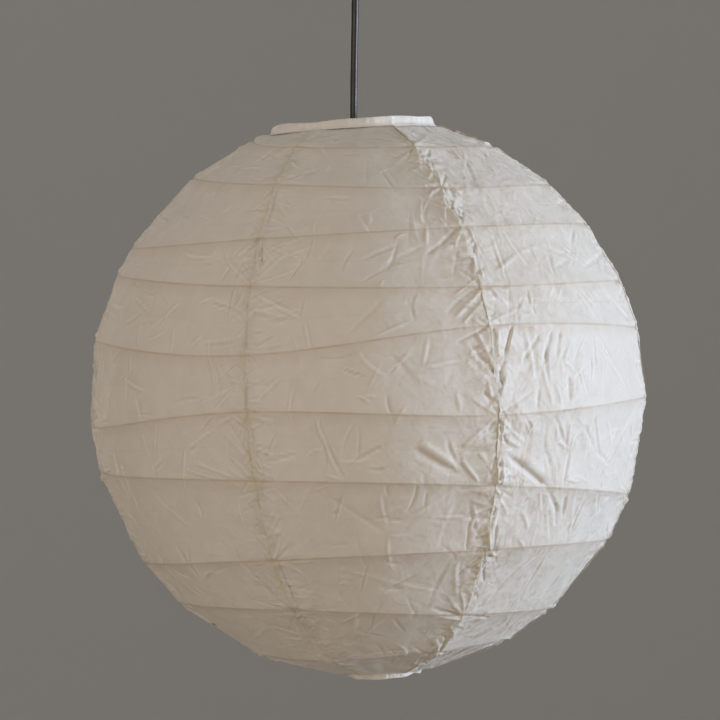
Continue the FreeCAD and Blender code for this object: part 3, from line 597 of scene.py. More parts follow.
@dataclass(frozen=True)
class WashiFinish(Finish):
    """Thin creased paper: fibres, glue along the seams, the rib's line, light through it, and painted
    highlights on fold ridges with painted shade in fold valleys and just below the rib.
    """

    colour: Colour = (0.82, 0.79, 0.74)
    cloud_colour: Colour = (0.78, 0.745, 0.685)
    glue_colour: Colour = (0.66, 0.58, 0.38)
    # This colour draws the rib's real line and also the painted shade below it.
    rib_line_and_shade_colour: Colour = (0.52, 0.36, 0.22)
    # Painted light: a highlight colour for the ridges of folds and a shade colour for their valleys.
    ridge_highlight_colour: Colour = (0.96, 0.94, 0.91)
    valley_shade_colour: Colour = (0.62, 0.55, 0.44)
    through_colour: Colour = (0.93, 0.84, 0.70)
    through: float = 0.28
    roughness: float = 0.5
    facet_tilt: float = 0.3
    crumple_depth: float = 0.0013
    lines: bool = True

    def material(self) -> bpy.types.Material:
        """Build the paper.

        Returns:
            The material.
        """
        material, board, shader, output = self.start()
        fibres = FIBRES.place(board, Scale=230.0, Amount=1.0)
        colour = board.mix(board.ramp(fibres.outputs["Cloud"], 0.35, 0.7), self.colour, self.cloud_colour)
        pale = tuple(min(1.0, part * 1.08) for part in self.colour)
        colour = board.mix(board.math("MULTIPLY", fibres.outputs["Fibres"], 0.35), colour, pale)
        facets = FACETS.place(board, Scale=75.0, Amount=0.1)
        crumple = CRUMPLE.place(board, Scale=62.0, Amount=1.0)
        height = crumple.outputs["Height"]
        # The seam and rib tints and the painted highlights and shade on folds and below the rib come only
        # with lines.
        if self.lines:
            colour = self.seam_and_rib(board, colour)
            strength = board.attribute("crumple")
            height = board.math("MULTIPLY", height, board.math("ADD", strength, 0.15))
            board.link(board.math("MULTIPLY", strength, self.facet_tilt), facets.inputs["Amount"])
        normal = board.bump(height, self.crumple_depth, normal=facets.outputs["Normal"])
        normal = board.bump(fibres.outputs["Fibres"], 0.00004, normal=normal)
        board.link(colour, shader.inputs["Base Color"])
        board.link(normal, shader.inputs["Normal"])
        rough = board.ramp(fibres.outputs["Cloud"], 0.3, 0.7, self.roughness - 0.07, self.roughness + 0.08)
        board.link(rough, shader.inputs["Roughness"])
        shader.inputs["Specular IOR Level"].default_value = 0.4
        shader.inputs["Sheen Weight"].default_value = 0.12
        shader.inputs["Sheen Roughness"].default_value = 0.4
        glow = board.add("ShaderNodeBsdfTranslucent")
        glow.inputs["Color"].default_value = (*self.through_colour, 1.0)
        board.link(normal, glow.inputs["Normal"])
        blend = board.add("ShaderNodeMixShader")
        blend.inputs["Fac"].default_value = self.through
        board.link(shader.outputs["BSDF"], blend.inputs[1])
        board.link(glow.outputs["BSDF"], blend.inputs[2])
        board.link(blend.outputs["Shader"], output.inputs["Surface"])
        return material

    def seam_and_rib(self, board: NodeBoard, colour: bpy.types.NodeSocket) -> bpy.types.NodeSocket:
        """Tint the glued seams and the rib's line, and paint highlights on fold ridges and shade in fold
        valleys and just below each pass of the rib.

        Args:
            board: The material's board.
            colour: The sheet's colour so far.

        Returns:
            The tinted colour.
        """
        # Painted light on the folds: ridges are lightened as a painted highlight and valleys darkened as
        # painted shade.
        fold = board.attribute("fold")
        ridge = board.math("MULTIPLY", board.ramp(fold, 0.08, 0.6), 0.55)
        painted_valley_shade = board.math("MULTIPLY", board.ramp(board.math("MULTIPLY", fold, -1.0), 0.1, 0.7), 0.3)
        colour = board.mix(ridge, colour, self.ridge_highlight_colour)
        colour = board.mix(painted_valley_shade, colour, self.valley_shade_colour)
        place = board.add("ShaderNodeTexCoord").outputs["Object"]
        seam = board.attribute("seam")
        patchy = board.ramp(board.noise(place, 110.0, 3.0), 0.34, 0.62, 0.25, 1.0)
        glue = board.math("MULTIPLY", board.ramp(seam, 0.6, 2.2, 1.0, 0.0), patchy)
        wide = board.math("MULTIPLY", board.ramp(seam, 3.0, 8.0, 0.22, 0.0), patchy)
        glue = board.math("MAXIMUM", board.math("MULTIPLY", glue, 0.55), wide)
        colour = board.mix(glue, colour, self.glue_colour)
        rib = board.math("ABSOLUTE", board.attribute("rib"))
        patchy_rib = board.ramp(board.noise(place, 60.0, 2.0), 0.3, 0.65, 0.55, 1.0)
        line = board.math("MULTIPLY", board.ramp(rib, 0.3, 1.1, 1.0, 0.0), patchy_rib)
        colour = board.mix(board.math("MULTIPLY", line, 0.55), colour, self.rib_line_and_shade_colour)
        # Painted shade: the paper just below each pass of the rib is darkened, where it would face downwards.
        below = board.math("MULTIPLY", board.attribute("rib"), -1.0)
        band = board.math("MULTIPLY", board.ramp(below, 0.8, 11.0, 0.16, 0.0), board.ramp(below, 0.0, 0.8))
        return board.mix(band, colour, self.rib_line_and_shade_colour)


@dataclass(frozen=True)
class PlasticFinish(Finish):
    """Moulded plastic or rubber."""

    colour: Colour = (0.02, 0.02, 0.022)
    roughness: float = 0.42
    grain: float = 0.4
    coat: float = 0.0

    def material(self) -> bpy.types.Material:
        """Build the plastic.

        Returns:
            The material.
        """
        material, board, shader, _ = self.start()
        grain = GRAIN.place(board, Scale=1500.0, Amount=self.grain)
        wear = WEAR.place(board, Amount=0.5)
        worn = tuple(min(1.0, part * 1.9 + 0.02) for part in self.colour)
        board.link(board.mix(wear.outputs["Mask"], self.colour, worn), shader.inputs["Base Color"])
        rough = board.ramp(grain.outputs["Cloud"], 0.3, 0.7, self.roughness - 0.06, self.roughness + 0.1)
        board.link(rough, shader.inputs["Roughness"])
        board.link(board.bump(grain.outputs["Height"], 0.00008), shader.inputs["Normal"])
        shader.inputs["Coat Weight"].default_value = self.coat
        shader.inputs["Coat Roughness"].default_value = 0.2
        return material


@dataclass(frozen=True)
class MetalFinish(Finish):
    """Drawn, plated or plain metal."""

    colour: Colour = (0.62, 0.63, 0.64)
    dull_colour: Colour = (0.45, 0.44, 0.42)
    roughness: float = 0.34

    def material(self) -> bpy.types.Material:
        """Build the metal.

        Returns:
            The material.
        """
        material, board, shader, _ = self.start()
        streaks = STREAKS.place(board, Scale=700.0, Amount=1.0)
        wear = WEAR.place(board, Amount=0.6)
        colour = board.mix(board.ramp(streaks.outputs["Cloud"], 0.35, 0.7), self.colour, self.dull_colour)
        bright = tuple(min(1.0, part * 1.2) for part in self.colour)
        board.link(board.mix(wear.outputs["Mask"], colour, bright), shader.inputs["Base Color"])
        rough = board.ramp(streaks.outputs["Cloud"], 0.3, 0.7, self.roughness - 0.08, self.roughness + 0.12)
        board.link(rough, shader.inputs["Roughness"])
        board.link(board.bump(streaks.outputs["Height"], 0.00003), shader.inputs["Normal"])
        shader.inputs["Metallic"].default_value = 1.0
        return material


@dataclass(frozen=True)
class CeramicFinish(Finish):
    """Unglazed pressed ceramic."""

    colour: Colour = (0.80, 0.77, 0.70)

    def material(self) -> bpy.types.Material:
        """Build the ceramic.

        Returns:
            The material.
        """
        material, board, shader, _ = self.start()
        grain = GRAIN.place(board, Scale=900.0, Amount=1.0)
        grey = tuple(part * 0.86 for part in self.colour)
        cloud = board.ramp(grain.outputs["Cloud"], 0.3, 0.7)
        board.link(board.mix(cloud, self.colour, grey), shader.inputs["Base Color"])
        board.link(board.ramp(grain.outputs["Cloud"], 0.3, 0.7, 0.6, 0.8), shader.inputs["Roughness"])
        board.link(board.bump(grain.outputs["Height"], 0.0001), shader.inputs["Normal"])
        return material


# ---------------------------------------------------------------- the rib's line


@dataclass(frozen=True)
class RibLine:
    """Latitude of the spiral rib, counted in steps of one seam from its start."""

    place: GlobePlace

    def steps(self) -> np.ndarray:
        """Latitudes from one step before the rib starts to one step after it ends."""
        rib = [latitude for turn in RIB_LATITUDES for latitude in turn]
        return np.array([self.place.top_edge, *rib, self.place.bottom_edge])

    @property
    def last(self) -> int:
        """Step at which the rib ends."""
        return len(RIB_LATITUDES) * GORE_COUNT - 1

    def latitude(self, step: np.ndarray) -> np.ndarray:
        """Smooth latitude at any step, where -1 is the top edge and last + 1 the bottom edge.

        Args:
            step: Steps from the rib's start, one per seam.

        Returns:
            Latitudes in degrees.
        """
        values = self.steps()
        place = np.clip(np.asarray(step, dtype=float) + 1.0, 0.0, len(values) - 1.0)
        low = np.minimum(np.floor(place).astype(int), len(values) - 2)
        share = place - low
        before = values[np.maximum(low - 1, 0)]
        start = values[low]
        end = values[low + 1]
        after = values[np.minimum(low + 2, len(values) - 1)]
        leave = (end - before) / 2
        arrive = (after - start) / 2
        rest = 3 * (end - start) - 2 * leave - arrive
        cube = 2 * (start - end) + leave + arrive
        return start + share * (leave + share * (rest + share * cube))


# ---------------------------------------------------------------- creases of the paper


@dataclass(frozen=True)
class Crease:
    """One straight or bent fold between two places on the globe, in azimuth and latitude."""

    start: tuple[float, float]
    end: tuple[float, float]
    height: float
    width: float
    bend: float = 0.0
    fade: float = 0.35

    def add_to(self, relief: np.ndarray, azimuth: np.ndarray, latitude: np.ndarray, arc: float) -> None:
        """Add the fold's height to a field of heights in millimetres.

        Args:
            relief: Heights so far, changed in place.
            azimuth: Azimuth of each point.
            latitude: Latitude of each point.
            arc: Millimetres per degree on the globe.
        """
        squeeze = math.cos(math.radians((self.start[1] + self.end[1]) / 2))
        along = np.array([(self.end[0] - self.start[0]) * squeeze, self.end[1] - self.start[1]]) * arc
        length = float(np.hypot(*along))
        along /= length
        away = (azimuth - self.start[0] + 180.0) % 360.0 - 180.0
        x = away * squeeze * arc
        y = (latitude - self.start[1]) * arc
        distance = x * along[0] + y * along[1]
        near = (distance > 0) & (distance < length)
        share = distance[near] / length
        off = x[near] * along[1] - y[near] * along[0] - self.bend * np.sin(math.pi * share)
        taper = np.minimum(1.0, share / self.fade) * np.minimum(1.0, (1 - share) / self.fade)
        profile = np.maximum(0.0, 1 - np.abs(off) / (self.width * (0.45 + 0.55 * taper)))
        relief[near] += self.height * taper * profile


@dataclass
class Crumpling:
    """Every crease of the globe, drawn from a seeded generator.

    Reaches, widths and heights are in millimetres, gaps and bands are in degrees of latitude, and
    strengths are shares of the usual height. Short creases within the boosted azimuths, in
    degrees, are higher.
    """

    rib: RibLine
    seed: int = 20
    busy_seam: int = 3
    seam_strength: float = 0.95
    seam_strengths: dict[int, float] = field(default_factory=lambda: {3: 1.25, 2: 0.7})
    band_busyness: dict[int, float] = field(default_factory=lambda: {3: 1.6, 2: 0.7, 1: 0.55})
    pucker_reach: tuple[float, float] = (6.0, 22.0)
    pucker_height: tuple[float, float] = (0.3, 0.9)
    pucker_gap: tuple[float, float] = (1.3, 2.4)
    ray_reach: tuple[float, float] = (14.0, 42.0)
    ray_height: tuple[float, float] = (0.4, 1.1)
    fold_height: tuple[float, float] = (0.25, 0.8)
    fold_width: tuple[float, float] = (1.5, 3.6)
    shallowest_band: float = 4.0
    hair_count: int = 900
    hair_reach: tuple[float, float] = (10.0, 45.0)
    hair_height: tuple[float, float] = (0.2, 0.62)
    hair_boost: float = 1.9
    boosted_azimuths: tuple[float, float] = (-110.0, 12.0)
    creases: list[Crease] = field(default_factory=list)

    def fill(self) -> None:
        """Lay the planned folds, the puckers along the seams and the creases of each band."""
        chance = np.random.default_rng(self.seed)
        self.planned()
        for seam in range(GORE_COUNT):
            self.seam_puckers(chance, seam)
        for seam in range(GORE_COUNT):
            for turn in range(len(RIB_LATITUDES)):
                self.band(chance, seam, turn)
        self.hairs(chance)
        log.info("paper has %d creases", len(self.creases))

    @staticmethod
    def squeeze(latitude: float) -> float:
        """Width of a degree of azimuth at a latitude, as a share of its width at the middle."""
        return max(0.3, math.cos(math.radians(latitude)))

    def planned(self) -> None:
        """Long folds with places of their own, most of them beside the two front seams."""
        for start_turn, start_rise, end_turn, end_rise, height, width in PLANNED_FOLDS:
            start = (start_turn, start_rise)
            self.creases.append(Crease(start, (end_turn, end_rise), height, width, 0.0, 0.2))

    def seam_puckers(self, chance: np.random.Generator, seam: int) -> None:
        """Short folds on both sides of a seam, and rays from where the rib crosses it.

        Args:
            chance: The generator.
            seam: Number of the seam.
        """
        azimuth = FIRST_SEAM + seam * GORE_ANGLE
        strength = self.seam_strengths.get(seam, self.seam_strength)
        sign = 1.0
        latitude = self.rib.place.bottom_edge + 6.0
        while latitude < self.rib.place.top_edge - 4.0:
            squeeze = self.squeeze(latitude)
            for side in (-1, 1):
                reach = chance.uniform(*self.pucker_reach) / self.rib.place.arc / squeeze
                rise = chance.normal(0.0, 3.2)
                stray = float(np.interp(latitude, SEAM_LEVELS, SEAM_STRAYS[seam]))
                start = (azimuth + stray - side * 0.25, latitude + chance.normal(0.0, 0.4))
                end = (azimuth + stray + side * reach, start[1] + rise)
                height = sign * chance.uniform(*self.pucker_height) * strength
                self.creases.append(Crease(start, end, height, chance.uniform(1.2, 2.4), 0.0, 0.2))
                sign = -sign
            sign = sign if chance.random() < 0.8 else -sign
            latitude += chance.uniform(*self.pucker_gap)
        for turn in range(len(RIB_LATITUDES)):
            crossing = RIB_LATITUDES[turn][seam]
            squeeze = self.squeeze(crossing)
            centre = azimuth + float(np.interp(crossing, SEAM_LEVELS, SEAM_STRAYS[seam]))
            for _ in range(chance.integers(4, 8)):
                heading = chance.uniform(0.0, 2 * math.pi)
                reach = chance.uniform(*self.ray_reach) / self.rib.place.arc
                end = (centre + reach * math.cos(heading) / squeeze, crossing + reach * math.sin(heading))
                height = chance.choice((-1.0, 1.0)) * chance.uniform(*self.ray_height) * strength
                width = chance.uniform(1.4, 2.6)
                self.creases.append(Crease((centre, crossing), end, height, width, chance.normal(0, 1), 0.12))

    def band(self, chance: np.random.Generator, seam: int, turn: int) -> None:
        """Folds that hang below one pass of the rib across one gore.

        Args:
            chance: The generator.
            seam: Number of the gore's left seam.
            turn: Turn of the rib above the band.
        """
        busy = self.band_busyness.get(seam, self.seam_strength)
        if seam == self.busy_seam and not 2 <= turn <= 6:
            busy = 1.0
        for _ in range(int(round(chance.uniform(6, 10) * busy))):
            share = chance.uniform(0.03, 0.97)
            step = turn * GORE_COUNT + seam + share
            top = float(self.rib.latitude(step))
            low = float(self.rib.latitude(step + GORE_COUNT))
            if top - low < self.shallowest_band:
                continue
            azimuth = FIRST_SEAM + (seam + share) * GORE_ANGLE
            lowered = chance.uniform(0.0, 0.45) if chance.random() < 0.4 else 0.0
            start_at = top - 0.3 - (top - low) * lowered
            drop = (start_at - low) * chance.uniform(0.35, 1.0)
            lean = chance.normal(0.0, 0.55 if seam == self.busy_seam else 0.9)
            squeeze = self.squeeze(top)
            end = (azimuth + lean * drop / squeeze, start_at - drop)
            height = chance.choice((-1.0, 1.0)) * chance.uniform(*self.fold_height) * (0.5 + 0.5 * busy)
            width = chance.uniform(*self.fold_width)
            fold = Crease((azimuth, start_at), end, height, width, chance.normal(0.0, 1.6))
            self.creases.append(fold)
            beside = fold.width * 1.3 / self.rib.place.arc / squeeze
            shifted = ((azimuth + beside, start_at - 0.5), (end[0] + beside * 0.5, end[1] + 0.8))
            self.creases.append(Crease(*shifted, -height * 0.7, fold.width, fold.bend))
            if chance.random() < 0.4:
                branch = (end[0] + chance.normal(0.0, 4.0) / squeeze, end[1] + chance.uniform(2.0, 7.0))
                self.creases.append(Crease(end, branch, height * 0.8, fold.width * 0.8, 0.0, 0.25))

    def hairs(self, chance: np.random.Generator) -> None:
        """Faint long lines left where the shade was folded and handled."""
        for _ in range(self.hair_count):
            azimuth = chance.uniform(-180.0, 180.0)
            latitude = math.degrees(math.asin(chance.uniform(-0.97, 0.93)))
            squeeze = self.squeeze(latitude)
            level = chance.random() < 0.55
            heading = chance.normal(0.0 if level else math.pi / 2, 0.35)
            reach = chance.uniform(*self.hair_reach) / self.rib.place.arc
            end = (azimuth + reach * math.cos(heading) / squeeze, latitude + reach * math.sin(heading))
            from_azimuth, to_azimuth = self.boosted_azimuths
            boost = self.hair_boost if from_azimuth < azimuth < to_azimuth else 1.0
            height = chance.choice((-1.0, 1.0)) * chance.uniform(*self.hair_height) * boost
            hair = Crease((azimuth, latitude), end, height, chance.uniform(1.2, 2.4), chance.normal(0.0, 1.6))
            self.creases.append(hair)

    def relief(self, azimuth: np.ndarray, latitude: np.ndarray) -> np.ndarray:
        """Height of all the creases at some points, in millimetres.

        Args:
            azimuth: Azimuths of the points.
            latitude: Latitudes of the points.

        Returns:
            Heights, outwards.
        """
        heights = np.zeros_like(azimuth)
        arc = self.rib.place.arc
        middle = float(azimuth.mean())
        for crease in self.creases:
            away = (crease.start[0] - middle + 180.0) % 360.0 - 180.0
            if abs(away) < 75.0:
                crease.add_to(heights, azimuth, latitude, arc)
        return heights


# ---------------------------------------------------------------- the paper


@dataclass
class PaperGlobe:
    """The seven glued gores and the wire that they are glued to."""

    place: GlobePlace
    rib: RibLine
    crumpling: Crumpling
    paper: float = 0.28
    slack: float = 0.8
    flap: float = 6.0
    under: float = 0.2
    dip: float = 1.0
    ridge: float = 2.6
    ridge_reach: float = 32.0
    rows: int = 432
    columns: int = 195
    stride: int = 3
    wire: float = 0.0006

    def band_edges(self, seam: int, share: np.ndarray) -> np.ndarray:
        """Latitudes of the rows' fixed lines across a gore, from the top edge down.

        Args:
            seam: Number of the gore's left seam.
            share: Place of each column across the gore.

        Returns:
            One row of latitudes per line.
        """
        first = -1 if seam == GORE_COUNT - 1 else 0
        lines = [np.full_like(share, self.place.top_edge)]
        for turn in range(first, len(RIB_LATITUDES)):
            lines.append(self.rib.latitude(turn * GORE_COUNT + seam + share))
        lines.append(np.full_like(share, self.place.bottom_edge))
        return np.array(lines)

    def column_shares(self) -> np.ndarray:
        """Places of the columns across a gore, closer together at its seams, and on its flap."""
        even = np.linspace(0.0, 1.0, self.columns)
        across = even - 0.35 * np.sin(2 * math.pi * even) / (2 * math.pi)
        flap = math.degrees(self.flap * MM / self.place.radius) / GORE_ANGLE
        return np.concatenate([across, 1.0 + flap * np.array([0.12, 0.3, 0.65, 1.0])])

    def gore_grid(self, seam: int) -> tuple[np.ndarray, np.ndarray, np.ndarray]:
        """Azimuth, latitude and inward sag of a gore's grid of points.

        Args:
            seam: Number of the gore's left seam.

        Returns:
            Three grids, in degrees, degrees and millimetres.
        """
        share = self.column_shares()
        lines = self.band_edges(seam, share)
        for turn in range(1, len(lines) - 1):
            moved = share + self.stray(seam, share, lines[turn])
            lines[turn] = self.band_edges(seam, moved)[turn]
        arc = self.place.arc
        step = float((lines[:-1] - lines[1:]).max(axis=1).sum()) * arc / self.rows
        latitudes = [lines[:1]]
        sags = [np.zeros((1, len(share)))]
        for above, below in zip(lines, lines[1:]):
            height = (above - below) * arc
            count = self.stride * max(1, int(float(height.max()) / step / self.stride))
            even = np.arange(1, count + 1) / count
            down = (even - 0.4 * np.sin(2 * math.pi * even) / (2 * math.pi))[:, None]
            chord = 0.35 * height ** 2 / (self.place.radius / MM) * down * (1 - down)
            wave = 1 + 0.25 * np.sin(share * 9.0 + above * 1.7) + 0.15 * np.sin(share * 23.0 + above)
            depth = np.minimum(self.dip, 0.022 * height) * wave
            latitudes.append(above - (above - below) * down)
            sags.append(chord + depth * np.sin(math.pi * down ** 0.72))
        latitude = np.concatenate(latitudes)
        azimuth = FIRST_SEAM + (seam + share + self.stray(seam, share, latitude)) * GORE_ANGLE
        return azimuth, latitude, np.concatenate(sags)

    def stray(self, seam: int, share: np.ndarray, latitude: np.ndarray) -> np.ndarray:
        """How far points of a gore stray with its two seams, as a share of a gore's width.

        Args:
            seam: Number of the gore's left seam.
            share: Place of each column across the gore.
            latitude: Latitudes of the points.

        Returns:
            Shares to add to the columns' places.
        """
        left = self.seam_stray(seam, latitude)
        right = self.seam_stray(seam + 1, latitude)
        return ((1 - share) * left + share * right) / GORE_ANGLE

    def seam_stray(self, seam: int, latitude: np.ndarray) -> np.ndarray:
        """Degrees by which a hand-glued seam strays from its even place."""
        number = seam % GORE_COUNT
        slow = np.interp(latitude, SEAM_LEVELS, SEAM_STRAYS[number])
        quick = 0.12 * np.sin(latitude * 0.45 + number) + 0.07 * np.sin(latitude * 1.3 + 2.0 * number)
        from_end = np.minimum(self.place.top_edge - latitude, latitude - self.place.bottom_edge)
        return (slow + quick) * smooth_step(from_end / 15.0)

    def rib_distance(self, azimuth: np.ndarray, latitude: np.ndarray) -> np.ndarray:
        """Distance in millimetres from the nearest pass of the rib, positive above it."""
        step = (azimuth - FIRST_SEAM) / GORE_ANGLE
        nearest = np.full_like(latitude, 99.0)
        arc = self.place.arc
        for turn in range(-1, len(RIB_LATITUDES)):
            at = step + turn * GORE_COUNT
            away = (latitude - self.rib.latitude(at)) * arc
            real = (at >= 0) & (at <= self.rib.last) & (np.abs(away) < np.abs(nearest))
            nearest = np.where(real, away, nearest)
        return nearest

    def gore(self, index: int, finish: bpy.types.Material) -> None:
        """Build one gore as a closed thin sheet and let it ride on the globe's body.

        Args:
            index: Number of the gore, 1 in front.
            finish: Its material.
        """
        name = "paper_gore_%d" % index
        seam = (index + 1) % GORE_COUNT
        azimuth, latitude, sag = self.gore_grid(seam)
        share = np.broadcast_to(self.column_shares(), latitude.shape)
        arc = self.place.arc
        level = np.cos(np.radians(latitude))
        from_left = share * GORE_ANGLE * arc * level
        from_right = (1 - share) * GORE_ANGLE * arc * level
        creased = self.crumpling.relief(azimuth, latitude)
        away = self.rib_distance(azimuth, latitude)
        held = 0.3 + 0.7 * smooth_step(np.abs(away) / 4.0)
        edge_away = np.minimum(self.place.top_edge - latitude, latitude - self.place.bottom_edge) * arc
        held = held * smooth_step(edge_away / 9.0)
        lapped = 0.16 * (1 - smooth_step(from_left / 7.5)) * smooth_step(edge_away / 4.0)
        tucked = self.under * smooth_step((1.0 - from_right) / 1.6)
        seam_away = np.minimum(np.abs(from_left), np.abs(from_right))
        ridge = self.ridge * np.clip(1 - seam_away / self.ridge_reach, 0.0, 1.0) ** 1.5 * held
        relief = np.clip(creased * held, -3.4, 2.4)
        outwards = relief + ridge - sag + lapped - tucked
        rows, columns = latitude.shape
        every = (slice(None, None, self.stride), slice(None, None, self.stride))
        outside = self.sphere_points(azimuth, latitude, outwards)
        from_rim = np.minimum.outer(self.from_ends(rows), self.from_ends(columns))
        depth = self.paper + self.slack * smooth_step((from_rim - 1.0) / 12.0)
        inside = self.sphere_points(azimuth, latitude, outwards - depth)[every]
        inner_rows, inner_columns = inside.shape[:2]
        count = rows * columns
        faces = grid_faces(rows, columns)[:, ::-1].tolist()
        faces += grid_faces(inner_rows, inner_columns, first=count).tolist()
        outer_rim = self.rim(rows, columns)
        inner_rim = self.rim(inner_rows, inner_columns) + count
        for place in range(len(inner_rim)):
            after = inner_rim[(place + 1) % len(inner_rim)]
            steps = range(place * self.stride, (place + 1) * self.stride + 1)
            span = [outer_rim[step % len(outer_rim)] for step in steps]
            faces.append([int(corner) for corner in (*span, after, inner_rim[place])])
        points = np.concatenate([outside.reshape(-1, 3), inside.reshape(-1, 3)])
        piece = new_mesh(name + "_sheet", points, faces)
        crumple = 0.25 + 0.75 * np.exp(-seam_away / 16.0) + (0.25 if index == 2 else 0.0)
        # The fold attribute drives the painted highlights and shade on the folds; the rib attribute also
        # drives the painted shade below the rib.
        marks = (("seam", seam_away), ("rib", away), ("crumple", crumple), ("fold", self.fold_lines(relief)))
        for label, values in marks:
            float_attribute(piece, label, np.concatenate([values.ravel(), values[every].ravel()]))
        piece.data.materials.append(finish)
        self.fold(piece)
        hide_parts(name)
        log.info("%s: %d faces", name, len(piece.data.polygons))

    @staticmethod
    def fold_lines(relief: np.ndarray) -> np.ndarray:
        """How sharply the paper bends at each point, positive on ridges and negative in valleys."""
        bend = np.zeros_like(relief)
        middle = relief[1:-1, 1:-1]
        down = 2 * middle - relief[:-2, 1:-1] - relief[2:, 1:-1]
        across = 2 * middle - relief[1:-1, :-2] - relief[1:-1, 2:]
        bend[1:-1, 1:-1] = down + across
        return bend

    def sphere_points(self, azimuth: np.ndarray, latitude: np.ndarray, outwards: np.ndarray) -> np.ndarray:
        """Points of a grid on the globe, moved outwards by some millimetres."""
        reach = self.place.radius + (outwards - 0.05) * MM
        ring = reach * np.cos(np.radians(latitude))
        turn = np.radians(azimuth)
        x = self.place.axis_x + ring * np.sin(turn)
        z = self.place.centre_z + reach * np.sin(np.radians(latitude))
        return np.stack([x, -ring * np.cos(turn), z], axis=-1)

    @staticmethod
    def from_ends(count: int) -> np.ndarray:
        """Number of steps from the nearer end of a row."""
        step = np.arange(count, dtype=float)
        return np.minimum(step, count - 1 - step)

    @staticmethod
    def rim(rows: int, columns: int) -> np.ndarray:
        """Vertex numbers round the edge of a grid, from its first corner."""
        top = np.arange(columns)
        right = np.arange(1, rows) * columns + columns - 1
        bottom = (rows - 1) * columns + np.arange(columns - 2, -1, -1)
        left = np.arange(rows - 2, 0, -1) * columns
        return np.concatenate([top, right, bottom, left])

    def fold(self, piece: bpy.types.Object) -> None:
        """Let a piece ride on the globe's body, with a mesh of its own."""
        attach(piece, Body.GLOBE.value)
        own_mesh(piece)

    def rib_wire(self, finish: bpy.types.Material) -> None:
        """Build the one wire that winds down inside the paper.

        Args:
            finish: Its material.
        """
        low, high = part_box("spiral_rib")
        level = high.y - self.wire
        step = np.arange(0.0, self.rib.last + 0.001, 1 / 22)
        azimuth = np.radians(FIRST_SEAM + step * GORE_ANGLE)
        latitude = np.radians(self.rib.latitude(step))
        ring = level * np.cos(latitude)
        across = self.place.axis_x + ring * np.sin(azimuth)
        rise = self.place.centre_z + level * np.sin(latitude)
        line = np.stack([across, -ring * np.cos(azimuth), rise], axis=-1)
        piece = tube_mesh("spiral_rib_wire", line, self.wire, 10)
        piece.data.materials.append(finish)
        self.fold(piece)
        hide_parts("spiral_rib")


def tube_mesh(name: str, line: np.ndarray, radius: float, sides: int) -> bpy.types.Object:
    """Round tube along a line, with closed ends.

    Args:
        name: Name of the piece.
        line: Points of the middle line.
        radius: The tube's radius in metres.
        sides: Points round it.

    Returns:
        The mesh object.
    """
    ahead = np.gradient(line, axis=0)
    ahead /= np.linalg.norm(ahead, axis=1)[:, None]
    side = np.cross(ahead[0], (0.0, 1.0, 0.3))
    sections = []
    for point, heading in zip(line, ahead):
        side = side - heading * np.dot(side, heading)
        side /= np.linalg.norm(side)
        up = np.cross(heading, side)
        turn = np.linspace(0, 2 * math.pi, sides, endpoint=False)[:, None]
        sections.append(point + radius * (np.cos(turn) * side + np.sin(turn) * up))
    points = np.concatenate(sections)
    faces = grid_faces(len(line), sides, wrap=True).tolist()
    faces.append(list(range(sides))[::-1])
    faces.append(list(range(len(points) - sides, len(points))))
    return new_mesh(name, points, faces)


